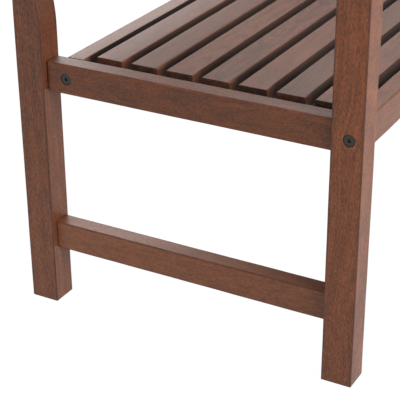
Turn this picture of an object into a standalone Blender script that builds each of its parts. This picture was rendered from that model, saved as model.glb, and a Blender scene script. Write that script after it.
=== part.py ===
"""Two-seater wooden garden bench, built from its separate timbers and fixings.

Metres, +Z up. X runs along the seat and Y from the front to the back. Places are measured from the
front legs' front faces and the floor, and an empty then carries every piece to the bench's middle.
"""

import math

import bmesh
import bpy
from mathutils import Matrix, Vector

# Fit between pieces, and the rounding of their arrises
FIT = 0.0003
ARRIS = 0.0018
ARRIS_STEPS = 2

# Whole bench
LENGTH = 1.160
INNER_DEPTH = 0.4875
SEAT_HEIGHT = 0.4345
ARM_RISE = 0.1955
BACK_RISE = 0.4155

# Legs
LEG_WIDTH = 0.046
FRONT_LEG_DEPTH = 0.050
REAR_LEG_DEPTH = 0.050
REAR_LEG_TOP_DEPTH = 0.040
RAKE_ANGLE = math.radians(10.0)
BEND_RISE = 0.0455
FRONT_BEND_RADIUS = 0.240
REAR_BEND_RADIUS = 0.200
BEND_STEPS = 5
LEG_TOP_RADIUS = 0.010

# Seat rails on all four sides, and the lower stretchers of the ends
SEAT_RAIL_DEPTH = 0.050
SEAT_RAIL_THICKNESS = 0.030
SIDE_RAIL_SET_IN = 0.0095
FRONT_RAIL_SET_IN = 0.007
REAR_RAIL_GAP = 0.021
STRETCHER_TOP = 0.1485
STRETCHER_DEPTH = 0.048
STRETCHER_THICKNESS = 0.030
STRETCHER_SET_IN = 0.011

# Glued tenons of the end frames, and stub tenons of the bolted rails
TENON_LENGTH = 0.018
TENON_THICKNESS = 0.010
STUB_LENGTH = 0.008
STUB_THICKNESS = 0.014
TENON_SHOULDER = 0.008

# Seat slats and the battens under them
SEAT_SLAT_COUNT = 7
SEAT_SLAT_WIDTH = 0.047
SEAT_SLAT_THICKNESS = 0.022
SEAT_SLAT_RISE = 0.003
SEAT_SLAT_END_GAP = 0.008
SEAT_SLAT_NOTCH = 0.003
BATTEN_WIDTH = 0.047
BATTEN_DEPTH = 0.030
BATTEN_INSET = 0.088
BATTEN_TENON_LENGTH = 0.012

# Armrests
ARM_THICKNESS = 0.022
ARM_SIDE_OVERHANG = 0.007
ARM_FRONT_OVERHANG = 0.020
ARM_CORNER_RADIUS = 0.012
POST_TENON_HEIGHT = 0.014
POST_TENON_WIDTH = 0.022
POST_TENON_DEPTH = 0.026
ARM_TENON_LENGTH = 0.014
ARM_TENON_WIDTH = 0.026

# Back
BACK_RAIL_THICKNESS = 0.024
TOP_RAIL_DEPTH = 0.070
TOP_RAIL_DROP = 0.014
BOTTOM_RAIL_DEPTH = 0.045
BOTTOM_RAIL_RISE = 0.025
BACK_SLAT_COUNT = 11
BACK_SLAT_WIDTH = 0.047
BACK_SLAT_THICKNESS = 0.012
BACK_SLAT_HOUSING = 0.012

# Bolts and barrel nuts
BOLT_RADIUS = 0.004
BOLT_HEAD_RADIUS = 0.0092
BOLT_HEAD_HEIGHT = 0.003
BOLT_HEAD_CHAMFER = 0.0006
BOLT_HEAD_SUNK = 0.0008
BOLT_PAST_NUT = 0.011
SOCKET_RADIUS = 0.0033
SOCKET_DEPTH = 0.0035
NUT_RADIUS = 0.006
NUT_INSET = 0.034
SEAT_NUT_LENGTH = 0.020
BACK_NUT_LENGTH = 0.016

# Screws from the middle batten up into the slats
SCREW_RADIUS = 0.002
SCREW_HEAD_RADIUS = 0.0038
SCREW_HEAD_HEIGHT = 0.0022
SCREW_TIP_LENGTH = 0.004
SCREW_TIP_RADIUS = 0.0005
SCREW_GRIP = 0.018
SCREW_BITE = 0.007

# Facets, and how far a joining or cutting solid runs past a face
ROUND_SIDES = 20
SMALL_SIDES = 12
SOCKET_SIDES = 6
OVERRUN = 0.002

# Colours, linear
STAINED_WOOD = (0.190, 0.080, 0.045, 1.0)
BLACK_STEEL = (0.022, 0.022, 0.024, 1.0)
ZINC_STEEL = (0.560, 0.560, 0.550, 1.0)

# Directions, and the two ends of the bench
ALONG = Vector((1.0, 0.0, 0.0))
REARWARD = Vector((0.0, 1.0, 0.0))
UPWARD = Vector((0.0, 0.0, 1.0))
ENDS = {"left": -1.0, "right": 1.0}

# Planes of the legs and rails
OUTER_X = LENGTH / 2.0
INNER_X = OUTER_X - LEG_WIDTH
LEG_X = OUTER_X - LEG_WIDTH / 2.0
FRONT_LEG_Y = FRONT_LEG_DEPTH / 2.0
REAR_LEG_FRONT = FRONT_LEG_DEPTH + INNER_DEPTH
REAR_LEG_REAR = REAR_LEG_FRONT + REAR_LEG_DEPTH
SEAT_RAIL_Z = SEAT_HEIGHT - SEAT_SLAT_RISE - SEAT_RAIL_DEPTH / 2.0
SIDE_RAIL_OUTER_X = OUTER_X - SIDE_RAIL_SET_IN
SIDE_RAIL_X = SIDE_RAIL_OUTER_X - SEAT_RAIL_THICKNESS / 2.0
SIDE_RAIL_INNER_X = SIDE_RAIL_OUTER_X - SEAT_RAIL_THICKNESS
FRONT_RAIL_Y = FRONT_RAIL_SET_IN + SEAT_RAIL_THICKNESS / 2.0
REAR_RAIL_Y = REAR_LEG_FRONT - REAR_RAIL_GAP - SEAT_RAIL_THICKNESS / 2.0
STRETCHER_X = OUTER_X - STRETCHER_SET_IN - STRETCHER_THICKNESS / 2.0
STRETCHER_Z = STRETCHER_TOP - STRETCHER_DEPTH / 2.0

# Seat slats and battens between the front and rear rails
SEAT_FRONT = FRONT_RAIL_Y + SEAT_RAIL_THICKNESS / 2.0
SEAT_REAR = REAR_RAIL_Y - SEAT_RAIL_THICKNESS / 2.0
SEAT_SLAT_GAP = (SEAT_REAR - SEAT_FRONT - SEAT_SLAT_COUNT * SEAT_SLAT_WIDTH) / (SEAT_SLAT_COUNT + 1)
SEAT_SLAT_LENGTH = 2.0 * (INNER_X - SEAT_SLAT_END_GAP)
SEAT_SLAT_Z = SEAT_HEIGHT - SEAT_SLAT_THICKNESS / 2.0
NOTCH_TOP = SEAT_HEIGHT - SEAT_SLAT_THICKNESS + SEAT_SLAT_NOTCH
BATTEN_TOP = NOTCH_TOP - FIT
BATTEN_Z = BATTEN_TOP - BATTEN_DEPTH / 2.0
BATTEN_END_X = SEAT_SLAT_LENGTH / 2.0 - BATTEN_INSET
BATTENS = {"left": -BATTEN_END_X, "centre": 0.0, "right": BATTEN_END_X}
BOLT_GRIP = NUT_INSET + BOLT_PAST_NUT

# The straight upper part of the rear legs: its front face starts at BEND_END and runs along UP_THE_BACK
BEND_START = SEAT_HEIGHT + BEND_RISE
BACK_TOP_Z = SEAT_HEIGHT + BACK_RISE
UP_THE_BACK = Vector((0.0, math.sin(RAKE_ANGLE), math.cos(RAKE_ANGLE)))
OUT_OF_BACK = Vector((0.0, math.cos(RAKE_ANGLE), -math.sin(RAKE_ANGLE)))
BEND_END = Vector((
    0.0,
    REAR_LEG_FRONT + FRONT_BEND_RADIUS * (1.0 - math.cos(RAKE_ANGLE)),
    BEND_START + FRONT_BEND_RADIUS * math.sin(RAKE_ANGLE),
))
BACK_ORIGIN = BEND_END + OUT_OF_BACK * (REAR_LEG_TOP_DEPTH / 2.0)
TOP_FRONT = BEND_END + UP_THE_BACK * ((BACK_TOP_Z - BEND_END.z) / UP_THE_BACK.z)
TOP_REAR = TOP_FRONT + REARWARD * (REAR_LEG_TOP_DEPTH / math.cos(RAKE_ANGLE))
REARMOST = TOP_REAR.y - LEG_TOP_RADIUS * UP_THE_BACK.y

# The back's rails and slats, as distances up the back from BACK_ORIGIN
TOP_RAIL_UP = (BACK_TOP_Z - BACK_ORIGIN.z) / UP_THE_BACK.z - TOP_RAIL_DROP - TOP_RAIL_DEPTH / 2.0
BOTTOM_RAIL_UP = BOTTOM_RAIL_RISE + BOTTOM_RAIL_DEPTH / 2.0
BACK_SLAT_LOW = BOTTOM_RAIL_UP + BOTTOM_RAIL_DEPTH / 2.0 - BACK_SLAT_HOUSING
BACK_SLAT_HIGH = TOP_RAIL_UP - TOP_RAIL_DEPTH / 2.0 + BACK_SLAT_HOUSING
BACK_SLAT_GAP = (2.0 * INNER_X - BACK_SLAT_COUNT * BACK_SLAT_WIDTH) / (BACK_SLAT_COUNT + 1)

# Armrests
ARM_BOTTOM = SEAT_HEIGHT + ARM_RISE
ARM_TOP = ARM_BOTTOM + ARM_THICKNESS
ARM_Z = ARM_BOTTOM + ARM_THICKNESS / 2.0
ARM_WIDTH = LEG_WIDTH + 2.0 * ARM_SIDE_OVERHANG
POST_TOP = ARM_BOTTOM - FIT

# Cross sections of the tenons, zero along the way that each one points
SIDE_TENON = Vector((TENON_THICKNESS, 0.0, SEAT_RAIL_DEPTH - 2.0 * TENON_SHOULDER))
STRETCHER_TENON = Vector((TENON_THICKNESS, 0.0, STRETCHER_DEPTH - 2.0 * TENON_SHOULDER))
SEAT_STUB = Vector((0.0, STUB_THICKNESS, SEAT_RAIL_DEPTH - 2.0 * TENON_SHOULDER))
TOP_STUB = Vector((0.0, STUB_THICKNESS, TOP_RAIL_DEPTH - 2.0 * TENON_SHOULDER))
BOTTOM_STUB = Vector((0.0, STUB_THICKNESS, BOTTOM_RAIL_DEPTH - 2.0 * TENON_SHOULDER))
BATTEN_TENON = Vector((BATTEN_WIDTH - 2.0 * TENON_SHOULDER, 0.0, STUB_THICKNESS))
POST_TENON = Vector((POST_TENON_WIDTH, POST_TENON_DEPTH, 0.0))
ARM_TENON = Vector((ARM_TENON_WIDTH, 0.0, TENON_THICKNESS))
SLAT_END = Vector((BACK_SLAT_WIDTH, BACK_SLAT_THICKNESS, 0.0))


def clear_scene():
    """Removes every object the file starts with."""
    for obj in list(bpy.data.objects):
        bpy.data.objects.remove(obj, do_unlink=True)


def make_empty(name, location, parent=None, tilt=0.0):
    """An empty that carries pieces; tilt turns it about X."""
    empty = bpy.data.objects.new(name, None)
    empty.parent = parent
    empty.location = location
    empty.rotation_euler = (tilt, 0.0, 0.0)
    bpy.context.collection.objects.link(empty)
    return empty


def make_material(name, colour, roughness, metallic=0.0):
    """A Principled material of one colour."""
    material = bpy.data.materials.new(name)
    material.use_nodes = True
    material.diffuse_color = colour
    shader = material.node_tree.nodes["Principled BSDF"]
    shader.inputs["Base Color"].default_value = colour
    shader.inputs["Roughness"].default_value = roughness
    shader.inputs["Metallic"].default_value = metallic
    return material


def wood_for(name):
    """The stained wood of one timber."""
    return make_material(f"{name}_stain", STAINED_WOOD, 0.55)


def make_object(name, bm, parent, location=(0.0, 0.0, 0.0), material=None):
    """Turns a bmesh into a named object under parent, with its round faces shaded smooth."""
    mesh = bpy.data.meshes.new(name)
    bm.to_mesh(mesh)
    bm.free()
    mesh.shade_smooth()
    mesh.set_sharp_from_angle(angle=math.radians(35.0))
    if material is not None:
        mesh.materials.append(material)
    obj = bpy.data.objects.new(name, mesh)
    obj.parent = parent
    obj.location = location
    bpy.context.collection.objects.link(obj)
    return obj


def join_or_cut(piece, bm, operation, frame=None):
    """Joins the bmesh's solids to the piece, or cuts them out; they lie in its parent's frame or in frame."""
    tool = make_object(f"{piece.name}_{operation.lower()}", bm, frame or piece.parent)
    tool.hide_render = True
    tool.display_type = "WIRE"
    modifier = piece.modifiers.new(operation.title(), "BOOLEAN")
    modifier.operation = operation
    modifier.solver = "EXACT"
    modifier.object = tool


def add_box(bm, size, centre):
    """Adds a box of the given size round centre."""
    place = Matrix.Translation(centre) @ Matrix.Diagonal((*size, 1.0))
    bmesh.ops.create_cube(bm, size=1.0, matrix=place)


def add_tenon(bm, shoulder, direction, length, section):
    """Adds a tenon that grows out of the middle of its shoulder, along direction."""
    size = section + (length + OVERRUN) * Vector([abs(part) for part in direction])
    add_box(bm, size, shoulder + direction * (length - OVERRUN) / 2.0)


def add_mortise(bm, face, direction, length, section):
    """Adds the hole that a tenon enters through the middle of a face, a fit larger all round."""
    fitted = Vector([width + 2.0 * FIT if width > 0.0 else 0.0 for width in section])
    add_tenon(bm, face, direction, length + FIT, fitted)


def add_turned(bm, profile, start, direction, sides):
    """Adds a closed turned solid: profile is (distance, radius) pairs along direction from start."""
    turn = direction.to_track_quat("Z", "Y")
    rings = []
    for distance, radius in profile:
        ring = []
        for step in range(sides):
            angle = 2.0 * math.pi * step / sides
            spoke = Vector((radius * math.cos(angle), radius * math.sin(angle), distance))
            ring.append(bm.verts.new(start + turn @ spoke))
        rings.append(ring)
    for low, high in zip(rings[:-1], rings[1:]):
        for step in range(sides):
            after = (step + 1) % sides
            bm.faces.new((low[step], low[after], high[after], high[step]))
    bm.faces.new(list(reversed(rings[0])))
    bm.faces.new(rings[-1])


def add_rod(bm, radius, start, end, sides=ROUND_SIDES):
    """Adds a plain cylinder from start to end."""
    span = end - start
    add_turned(bm, [(0.0, radius), (span.length, radius)], start, span.normalized(), sides)


def ease(bm, edges, radius=ARRIS, steps=ARRIS_STEPS):
    """Rounds the edges to radius."""
    bmesh.ops.bevel(bm, geom=edges, offset=radius, segments=steps, profile=0.5, affect="EDGES")


def make_timber(name, size, centre, grain, parent, ends_eased=False):
    """A sawn timber: a box with rounded arrises along its grain, and round its ends if they are eased."""
    bm = bmesh.new()
    add_box(bm, size, Vector((0.0, 0.0, 0.0)))
    edges = []
    for edge in bm.edges:
        run = edge.verts[0].co - edge.verts[1].co
        if ends_eased or abs(run[grain]) > 0.0:
            edges.append(edge)
    ease(bm, edges)
    return make_object(name, bm, parent, centre, wood_for(name))


def extrude_outline(bm, outline, width):
    """Adds a board sawn to an outline of (y, z) points, width wide along X and centred on it."""
    face = bm.faces.new([bm.verts.new((-width / 2.0, y, z)) for y, z in outline])
    made = bmesh.ops.extrude_face_region(bm, geom=[face])
    moved = [item for item in made["geom"] if isinstance(item, bmesh.types.BMVert)]
    bmesh.ops.translate(bm, verts=moved, vec=(width, 0.0, 0.0))
    bmesh.ops.recalc_face_normals(bm, faces=bm.faces)


def sharp_edges(bm):
    """The edges that turn by more than 30 degrees."""
    return [edge for edge in bm.edges if edge.calc_face_angle(0.0) > math.radians(30.0)]


def bend_points(start_y, start_z, radius):
    """Points of an arc that starts upright at (start_y, start_z) and turns back by the rake."""
    points = []
    for step in range(BEND_STEPS + 1):
        angle = RAKE_ANGLE * step / BEND_STEPS
        points.append((start_y + radius * (1.0 - math.cos(angle)), start_z + radius * math.sin(angle)))
    return points


def raked_face_y(height):
    """Y of the rear legs' raked front face at a height above the bend."""
    return BEND_END.y + (height - BEND_END.z) * math.tan(RAKE_ANGLE)


def rear_leg_outline():
    """The rear leg from the side: upright, then bent back and a little slimmer to its top."""
    rear_face = BEND_END + OUT_OF_BACK * REAR_LEG_TOP_DEPTH
    rear_corner = rear_face.z + (REAR_LEG_REAR - rear_face.y) / math.tan(RAKE_ANGLE)
    rear_bend_start = rear_corner - REAR_BEND_RADIUS * math.tan(RAKE_ANGLE / 2.0)
    front = [(REAR_LEG_FRONT, 0.0)] + bend_points(REAR_LEG_FRONT, BEND_START, FRONT_BEND_RADIUS)
    rear = [(REAR_LEG_REAR, 0.0)] + bend_points(REAR_LEG_REAR, rear_bend_start, REAR_BEND_RADIUS)
    top = [(TOP_FRONT.y, TOP_FRONT.z), (TOP_REAR.y, TOP_REAR.z)]
    return front + top + list(reversed(rear))


def add_bolt_bore(bm, face, inward, depth):
    """Adds a counterbore and a bolt hole that run inwards from a point on the outer face."""
    seat = OVERRUN + BOLT_HEAD_SUNK + BOLT_HEAD_HEIGHT + FIT
    wide = BOLT_HEAD_RADIUS + FIT
    slim = BOLT_RADIUS + FIT
    profile = [(0.0, wide), (seat, wide), (seat, slim), (OVERRUN + depth + OVERRUN, slim)]
    add_turned(bm, profile, face - inward * OVERRUN, inward, ROUND_SIDES)


def add_end_bores(bolts, nuts, end, inward, nut_way, nut_length, to_face):
    """Adds the bolt hole in a rail's end and the blind hole for its barrel nut, open along nut_way."""
    start = end - inward * (STUB_LENGTH + OVERRUN)
    add_rod(bolts, BOLT_RADIUS + FIT, start, end + inward * (BOLT_GRIP + FIT))
    middle = end + inward * NUT_INSET
    low = middle - nut_way * (nut_length / 2.0 + FIT)
    add_rod(nuts, NUT_RADIUS + FIT, low, middle + nut_way * (to_face + OVERRUN))


def make_front_legs(bench):
    """Upright front legs, each with a tenon on top that holds the armrest."""
    for word, end in ENDS.items():
        x = end * LEG_X
        outward = ALONG * end
        size = (LEG_WIDTH, FRONT_LEG_DEPTH, POST_TOP)
        centre = (x, FRONT_LEG_Y, POST_TOP / 2.0)
        leg = make_timber(f"front_leg_{word}", size, centre, 2, bench, ends_eased=True)
        tenon = bmesh.new()
        add_tenon(tenon, Vector((x, FRONT_LEG_Y, POST_TOP)), UPWARD, POST_TENON_HEIGHT, POST_TENON)
        join_or_cut(leg, tenon, "UNION")
        mortises = bmesh.new()
        side_rail_end = Vector((end * SIDE_RAIL_X, FRONT_LEG_DEPTH, SEAT_RAIL_Z))
        stretcher_end = Vector((end * STRETCHER_X, FRONT_LEG_DEPTH, STRETCHER_Z))
        front_rail_end = Vector((end * INNER_X, FRONT_RAIL_Y, SEAT_RAIL_Z))
        add_mortise(mortises, side_rail_end, -REARWARD, TENON_LENGTH, SIDE_TENON)
        add_mortise(mortises, stretcher_end, -REARWARD, TENON_LENGTH, STRETCHER_TENON)
        add_mortise(mortises, front_rail_end, outward, STUB_LENGTH, SEAT_STUB)
        join_or_cut(leg, mortises, "DIFFERENCE")
        bore = bmesh.new()
        add_bolt_bore(bore, Vector((end * OUTER_X, FRONT_RAIL_Y, SEAT_RAIL_Z)), -outward, LEG_WIDTH)
        join_or_cut(leg, bore, "DIFFERENCE")


def make_rear_legs(bench, back):
    """Rear legs, upright to above the seat and then bent back to carry the back."""
    for word, end in ENDS.items():
        outward = ALONG * end
        bm = bmesh.new()
        extrude_outline(bm, rear_leg_outline(), LEG_WIDTH)
        top = [edge for edge in bm.edges if min(vert.co.z for vert in edge.verts) > BACK_TOP_Z - ARRIS]
        crosswise = [edge for edge in top if abs(edge.verts[0].co.x - edge.verts[1].co.x) > ARRIS]
        ease(bm, crosswise, LEG_TOP_RADIUS, 3)
        ease(bm, sharp_edges(bm))
        name = f"rear_leg_{word}"
        leg = make_object(name, bm, bench, (end * LEG_X, 0.0, 0.0), wood_for(name))
        mortises = bmesh.new()
        side_rail_end = Vector((end * SIDE_RAIL_X, REAR_LEG_FRONT, SEAT_RAIL_Z))
        stretcher_end = Vector((end * STRETCHER_X, REAR_LEG_FRONT, STRETCHER_Z))
        armrest_end = Vector((end * LEG_X, raked_face_y(ARM_Z), ARM_Z))
        add_mortise(mortises, side_rail_end, REARWARD, TENON_LENGTH, SIDE_TENON)
        add_mortise(mortises, stretcher_end, REARWARD, TENON_LENGTH, STRETCHER_TENON)
        add_mortise(mortises, armrest_end, REARWARD, ARM_TENON_LENGTH, ARM_TENON)
        join_or_cut(leg, mortises, "DIFFERENCE")
        stubs = bmesh.new()
        bores = bmesh.new()
        for up, section in ((TOP_RAIL_UP, TOP_STUB), (BOTTOM_RAIL_UP, BOTTOM_STUB)):
            add_mortise(stubs, Vector((end * INNER_X, 0.0, up)), outward, STUB_LENGTH, section)
            add_bolt_bore(bores, Vector((end * OUTER_X, 0.0, up)), -outward, LEG_WIDTH)
        join_or_cut(leg, stubs, "DIFFERENCE", back)
        join_or_cut(leg, bores, "DIFFERENCE", back)


def make_end_rail(name, bench, x, z, thickness, depth, section):
    """A rail of an end frame, from front leg to rear leg, with a tenon at each end."""
    run = INNER_DEPTH - 2.0 * FIT
    middle = Vector((x, FRONT_LEG_DEPTH + INNER_DEPTH / 2.0, z))
    rail = make_timber(name, (thickness, run, depth), middle, 1, bench)
    tenons = bmesh.new()
    for way in (-REARWARD, REARWARD):
        add_tenon(tenons, middle + way * (run / 2.0), way, TENON_LENGTH, section)
    join_or_cut(rail, tenons, "UNION")
    return rail


def make_side_rails(bench):
    """Side rails, bored and mortised for the rear rail."""
    size = (SEAT_RAIL_THICKNESS, SEAT_RAIL_DEPTH)
    for word, end in ENDS.items():
        outward = ALONG * end
        rail = make_end_rail(f"side_rail_{word}", bench, end * SIDE_RAIL_X, SEAT_RAIL_Z, *size, SIDE_TENON)
        mortise = bmesh.new()
        inner = Vector((end * SIDE_RAIL_INNER_X, REAR_RAIL_Y, SEAT_RAIL_Z))
        add_mortise(mortise, inner, outward, STUB_LENGTH, SEAT_STUB)
        join_or_cut(rail, mortise, "DIFFERENCE")
        bore = bmesh.new()
        outer = Vector((end * SIDE_RAIL_OUTER_X, REAR_RAIL_Y, SEAT_RAIL_Z))
        add_bolt_bore(bore, outer, -outward, SEAT_RAIL_THICKNESS)
        join_or_cut(rail, bore, "DIFFERENCE")


def make_stretchers(bench):
    """Low stretchers between the legs of each end."""
    size = (STRETCHER_THICKNESS, STRETCHER_DEPTH)
    for word, end in ENDS.items():
        make_end_rail(f"stretcher_{word}", bench, end * STRETCHER_X, STRETCHER_Z, *size, STRETCHER_TENON)


def make_cross_rail(name, parent, middle, end_x, thickness, depth, section):
    """A rail along X between two faces at X = end_x, with a stub tenon at each end."""
    half = end_x - FIT
    rail = make_timber(name, (2.0 * half, thickness, depth), middle, 0, parent)
    tenons = bmesh.new()
    for end in ENDS.values():
        add_tenon(tenons, middle + ALONG * (end * half), ALONG * end, STUB_LENGTH, section)
    join_or_cut(rail, tenons, "UNION")
    return rail


def make_seat_rail(name, bench, y, end_x, batten_way):
    """The front or rear rail, bored from its ends and its underside and mortised for the battens."""
    middle = Vector((0.0, y, SEAT_RAIL_Z))
    rail = make_cross_rail(name, bench, middle, end_x, SEAT_RAIL_THICKNESS, SEAT_RAIL_DEPTH, SEAT_STUB)
    bolts = bmesh.new()
    holes = bmesh.new()
    for end in ENDS.values():
        rail_end = middle + ALONG * (end * (end_x - FIT))
        add_end_bores(bolts, holes, rail_end, ALONG * -end, -UPWARD, SEAT_NUT_LENGTH, SEAT_RAIL_DEPTH / 2.0)
    for x in BATTENS.values():
        face = Vector((x, y + batten_way * SEAT_RAIL_THICKNESS / 2.0, BATTEN_Z))
        add_mortise(holes, face, REARWARD * -batten_way, BATTEN_TENON_LENGTH, BATTEN_TENON)
    join_or_cut(rail, bolts, "DIFFERENCE")
    join_or_cut(rail, holes, "DIFFERENCE")


def seat_slat_places():
    """Y of the middle of each seat slat, from the front."""
    pitch = SEAT_SLAT_WIDTH + SEAT_SLAT_GAP
    return [SEAT_FRONT + pitch * (index + 1) - SEAT_SLAT_WIDTH / 2.0 for index in range(SEAT_SLAT_COUNT)]


def make_battens(bench):
    """Battens tenoned into the front and rear rails; the middle one is bored from below for the screws."""
    run = SEAT_REAR - SEAT_FRONT - 2.0 * FIT
    for word, x in BATTENS.items():
        middle = Vector((x, (SEAT_FRONT + SEAT_REAR) / 2.0, BATTEN_Z))
        batten = make_timber(f"seat_batten_{word}", (BATTEN_WIDTH, run, BATTEN_DEPTH), middle, 1, bench)
        tenons = bmesh.new()
        for way in (-REARWARD, REARWARD):
            add_tenon(tenons, middle + way * (run / 2.0), way, BATTEN_TENON_LENGTH, BATTEN_TENON)
        join_or_cut(batten, tenons, "UNION")
    holes = bmesh.new()
    seat = OVERRUN + BATTEN_DEPTH - SCREW_GRIP
    wide = SCREW_HEAD_RADIUS + FIT
    slim = SCREW_RADIUS + FIT
    profile = [(0.0, wide), (seat, wide), (seat, slim), (BATTEN_DEPTH + 2.0 * OVERRUN, slim)]
    for y in seat_slat_places():
        start = Vector((BATTENS["centre"], y, BATTEN_TOP - BATTEN_DEPTH - OVERRUN))
        add_turned(holes, profile, start, UPWARD, SMALL_SIDES)
    join_or_cut(bpy.data.objects["seat_batten_centre"], holes, "DIFFERENCE")


def make_seat_slats(bench):
    """Seat slats along X, notched over the battens, with a blind hole in the middle for the screw."""
    notch_width = BATTEN_WIDTH + 2.0 * FIT
    notch = Vector((notch_width, SEAT_SLAT_WIDTH + 2.0 * OVERRUN, SEAT_SLAT_NOTCH + OVERRUN))
    for index, y in enumerate(seat_slat_places()):
        size = (SEAT_SLAT_LENGTH, SEAT_SLAT_WIDTH, SEAT_SLAT_THICKNESS)
        slat = make_timber(f"seat_slat_{index + 1}", size, (0.0, y, SEAT_SLAT_Z), 0, bench)
        notches = bmesh.new()
        for x in BATTENS.values():
            add_box(notches, notch, Vector((x, y, NOTCH_TOP - notch.z / 2.0)))
        join_or_cut(slat, notches, "DIFFERENCE")
        hole = bmesh.new()
        start = Vector((BATTENS["centre"], y, NOTCH_TOP - OVERRUN))
        add_rod(hole, SCREW_RADIUS + FIT, start, start + UPWARD * (OVERRUN + SCREW_BITE + FIT), SMALL_SIDES)
        join_or_cut(slat, hole, "DIFFERENCE")


def make_slat_screws(bench):
    """One screw up through the middle batten into each slat."""
    length = SCREW_HEAD_HEIGHT + SCREW_GRIP + FIT + SCREW_BITE
    profile = [
        (0.0, SCREW_HEAD_RADIUS),
        (SCREW_HEAD_HEIGHT, SCREW_HEAD_RADIUS),
        (SCREW_HEAD_HEIGHT, SCREW_RADIUS),
        (length - SCREW_TIP_LENGTH, SCREW_RADIUS),
        (length, SCREW_TIP_RADIUS),
    ]
    for index, y in enumerate(seat_slat_places()):
        name = f"slat_screw_{index + 1}"
        bm = bmesh.new()
        add_turned(bm, profile, Vector((0.0, 0.0, 0.0)), UPWARD, SMALL_SIDES)
        base = BATTEN_TOP - SCREW_GRIP - SCREW_HEAD_HEIGHT - FIT
        steel = make_material(f"{name}_zinc", ZINC_STEEL, 0.35, 1.0)
        make_object(name, bm, bench, (BATTENS["centre"], y, base), steel)


def make_armrests(bench):
    """Armrests: a mortise over the front leg's tenon, and a tenon into the rear leg's raked face."""
    setback = FIT / math.cos(RAKE_ANGLE)
    outline = [
        (-ARM_FRONT_OVERHANG, ARM_BOTTOM),
        (raked_face_y(ARM_BOTTOM) - setback, ARM_BOTTOM),
        (raked_face_y(ARM_TOP) - setback, ARM_TOP),
        (-ARM_FRONT_OVERHANG, ARM_TOP),
    ]
    for word, end in ENDS.items():
        x = end * LEG_X
        bm = bmesh.new()
        extrude_outline(bm, outline, ARM_WIDTH)
        front = [edge for edge in bm.edges if max(vert.co.y for vert in edge.verts) < 0.0]
        upright = [edge for edge in front if abs(edge.verts[0].co.z - edge.verts[1].co.z) > ARRIS]
        ease(bm, upright, ARM_CORNER_RADIUS, 4)
        rear = raked_face_y(ARM_BOTTOM) - ARRIS
        ease(bm, [edge for edge in sharp_edges(bm) if min(vert.co.y for vert in edge.verts) < rear])
        arm = make_object(f"armrest_{word}", bm, bench, (x, 0.0, 0.0), wood_for(f"armrest_{word}"))
        tenon = bmesh.new()
        rear_end = Vector((x, raked_face_y(ARM_Z) - FIT, ARM_Z))
        add_tenon(tenon, rear_end, REARWARD, ARM_TENON_LENGTH, ARM_TENON)
        join_or_cut(arm, tenon, "UNION")
        mortise = bmesh.new()
        add_mortise(mortise, Vector((x, FRONT_LEG_Y, ARM_BOTTOM)), UPWARD, POST_TENON_HEIGHT, POST_TENON)
        join_or_cut(arm, mortise, "DIFFERENCE")


def back_slat_places():
    """X of the middle of each back slat, from the left."""
    pitch = BACK_SLAT_WIDTH + BACK_SLAT_GAP
    return [-INNER_X + pitch * (index + 1) - BACK_SLAT_WIDTH / 2.0 for index in range(BACK_SLAT_COUNT)]


def make_back_rail(name, back, up, depth, section, slat_way):
    """A rail of the back, bored from its ends and its rear face and mortised for the back slats."""
    middle = UPWARD * up
    rail = make_cross_rail(name, back, middle, INNER_X, BACK_RAIL_THICKNESS, depth, section)
    bolts = bmesh.new()
    holes = bmesh.new()
    for end in ENDS.values():
        rail_end = middle + ALONG * (end * (INNER_X - FIT))
        to_face = BACK_RAIL_THICKNESS / 2.0
        add_end_bores(bolts, holes, rail_end, ALONG * -end, REARWARD, BACK_NUT_LENGTH, to_face)
    inner_edge = up + slat_way * depth / 2.0
    for x in back_slat_places():
        add_mortise(holes, Vector((x, 0.0, inner_edge)), UPWARD * -slat_way, BACK_SLAT_HOUSING, SLAT_END)
    join_or_cut(rail, bolts, "DIFFERENCE")
    join_or_cut(rail, holes, "DIFFERENCE")


def make_back_slats(back):
    """Upright slats, housed in both rails of the back."""
    length = BACK_SLAT_HIGH - BACK_SLAT_LOW
    size = (BACK_SLAT_WIDTH, BACK_SLAT_THICKNESS, length)
    for index, x in enumerate(back_slat_places()):
        make_timber(f"back_slat_{index + 1}", size, (x, 0.0, BACK_SLAT_LOW + length / 2.0), 2, back)


def make_bolt(name, parent, face, inward, length):
    """A flat-headed bolt with a hexagon socket, its head just below a point on the outer face."""
    start = face + inward * BOLT_HEAD_SUNK
    profile = [
        (0.0, BOLT_HEAD_RADIUS - BOLT_HEAD_CHAMFER),
        (BOLT_HEAD_CHAMFER, BOLT_HEAD_RADIUS),
        (BOLT_HEAD_HEIGHT, BOLT_HEAD_RADIUS),
        (BOLT_HEAD_HEIGHT, BOLT_RADIUS),
        (length - BOLT_HEAD_SUNK, BOLT_RADIUS),
    ]
    bm = bmesh.new()
    add_turned(bm, profile, Vector((0.0, 0.0, 0.0)), inward, ROUND_SIDES)
    bolt = make_object(name, bm, parent, start, make_material(f"{name}_black", BLACK_STEEL, 0.40, 0.6))
    socket = bmesh.new()
    add_rod(socket, SOCKET_RADIUS, start - inward * OVERRUN, start + inward * SOCKET_DEPTH, SOCKET_SIDES)
    join_or_cut(bolt, socket, "DIFFERENCE")


def make_nut(name, parent, middle, axis, length):
    """A barrel nut with the cross hole that the bolt passes through."""
    bm = bmesh.new()
    add_rod(bm, NUT_RADIUS, axis * (-length / 2.0), axis * (length / 2.0))
    nut = make_object(name, bm, parent, middle, make_material(f"{name}_zinc", ZINC_STEEL, 0.35, 1.0))
    hole = bmesh.new()
    reach = ALONG * (NUT_RADIUS + OVERRUN)
    add_rod(hole, BOLT_RADIUS + FIT, middle - reach, middle + reach)
    join_or_cut(nut, hole, "DIFFERENCE")


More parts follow.
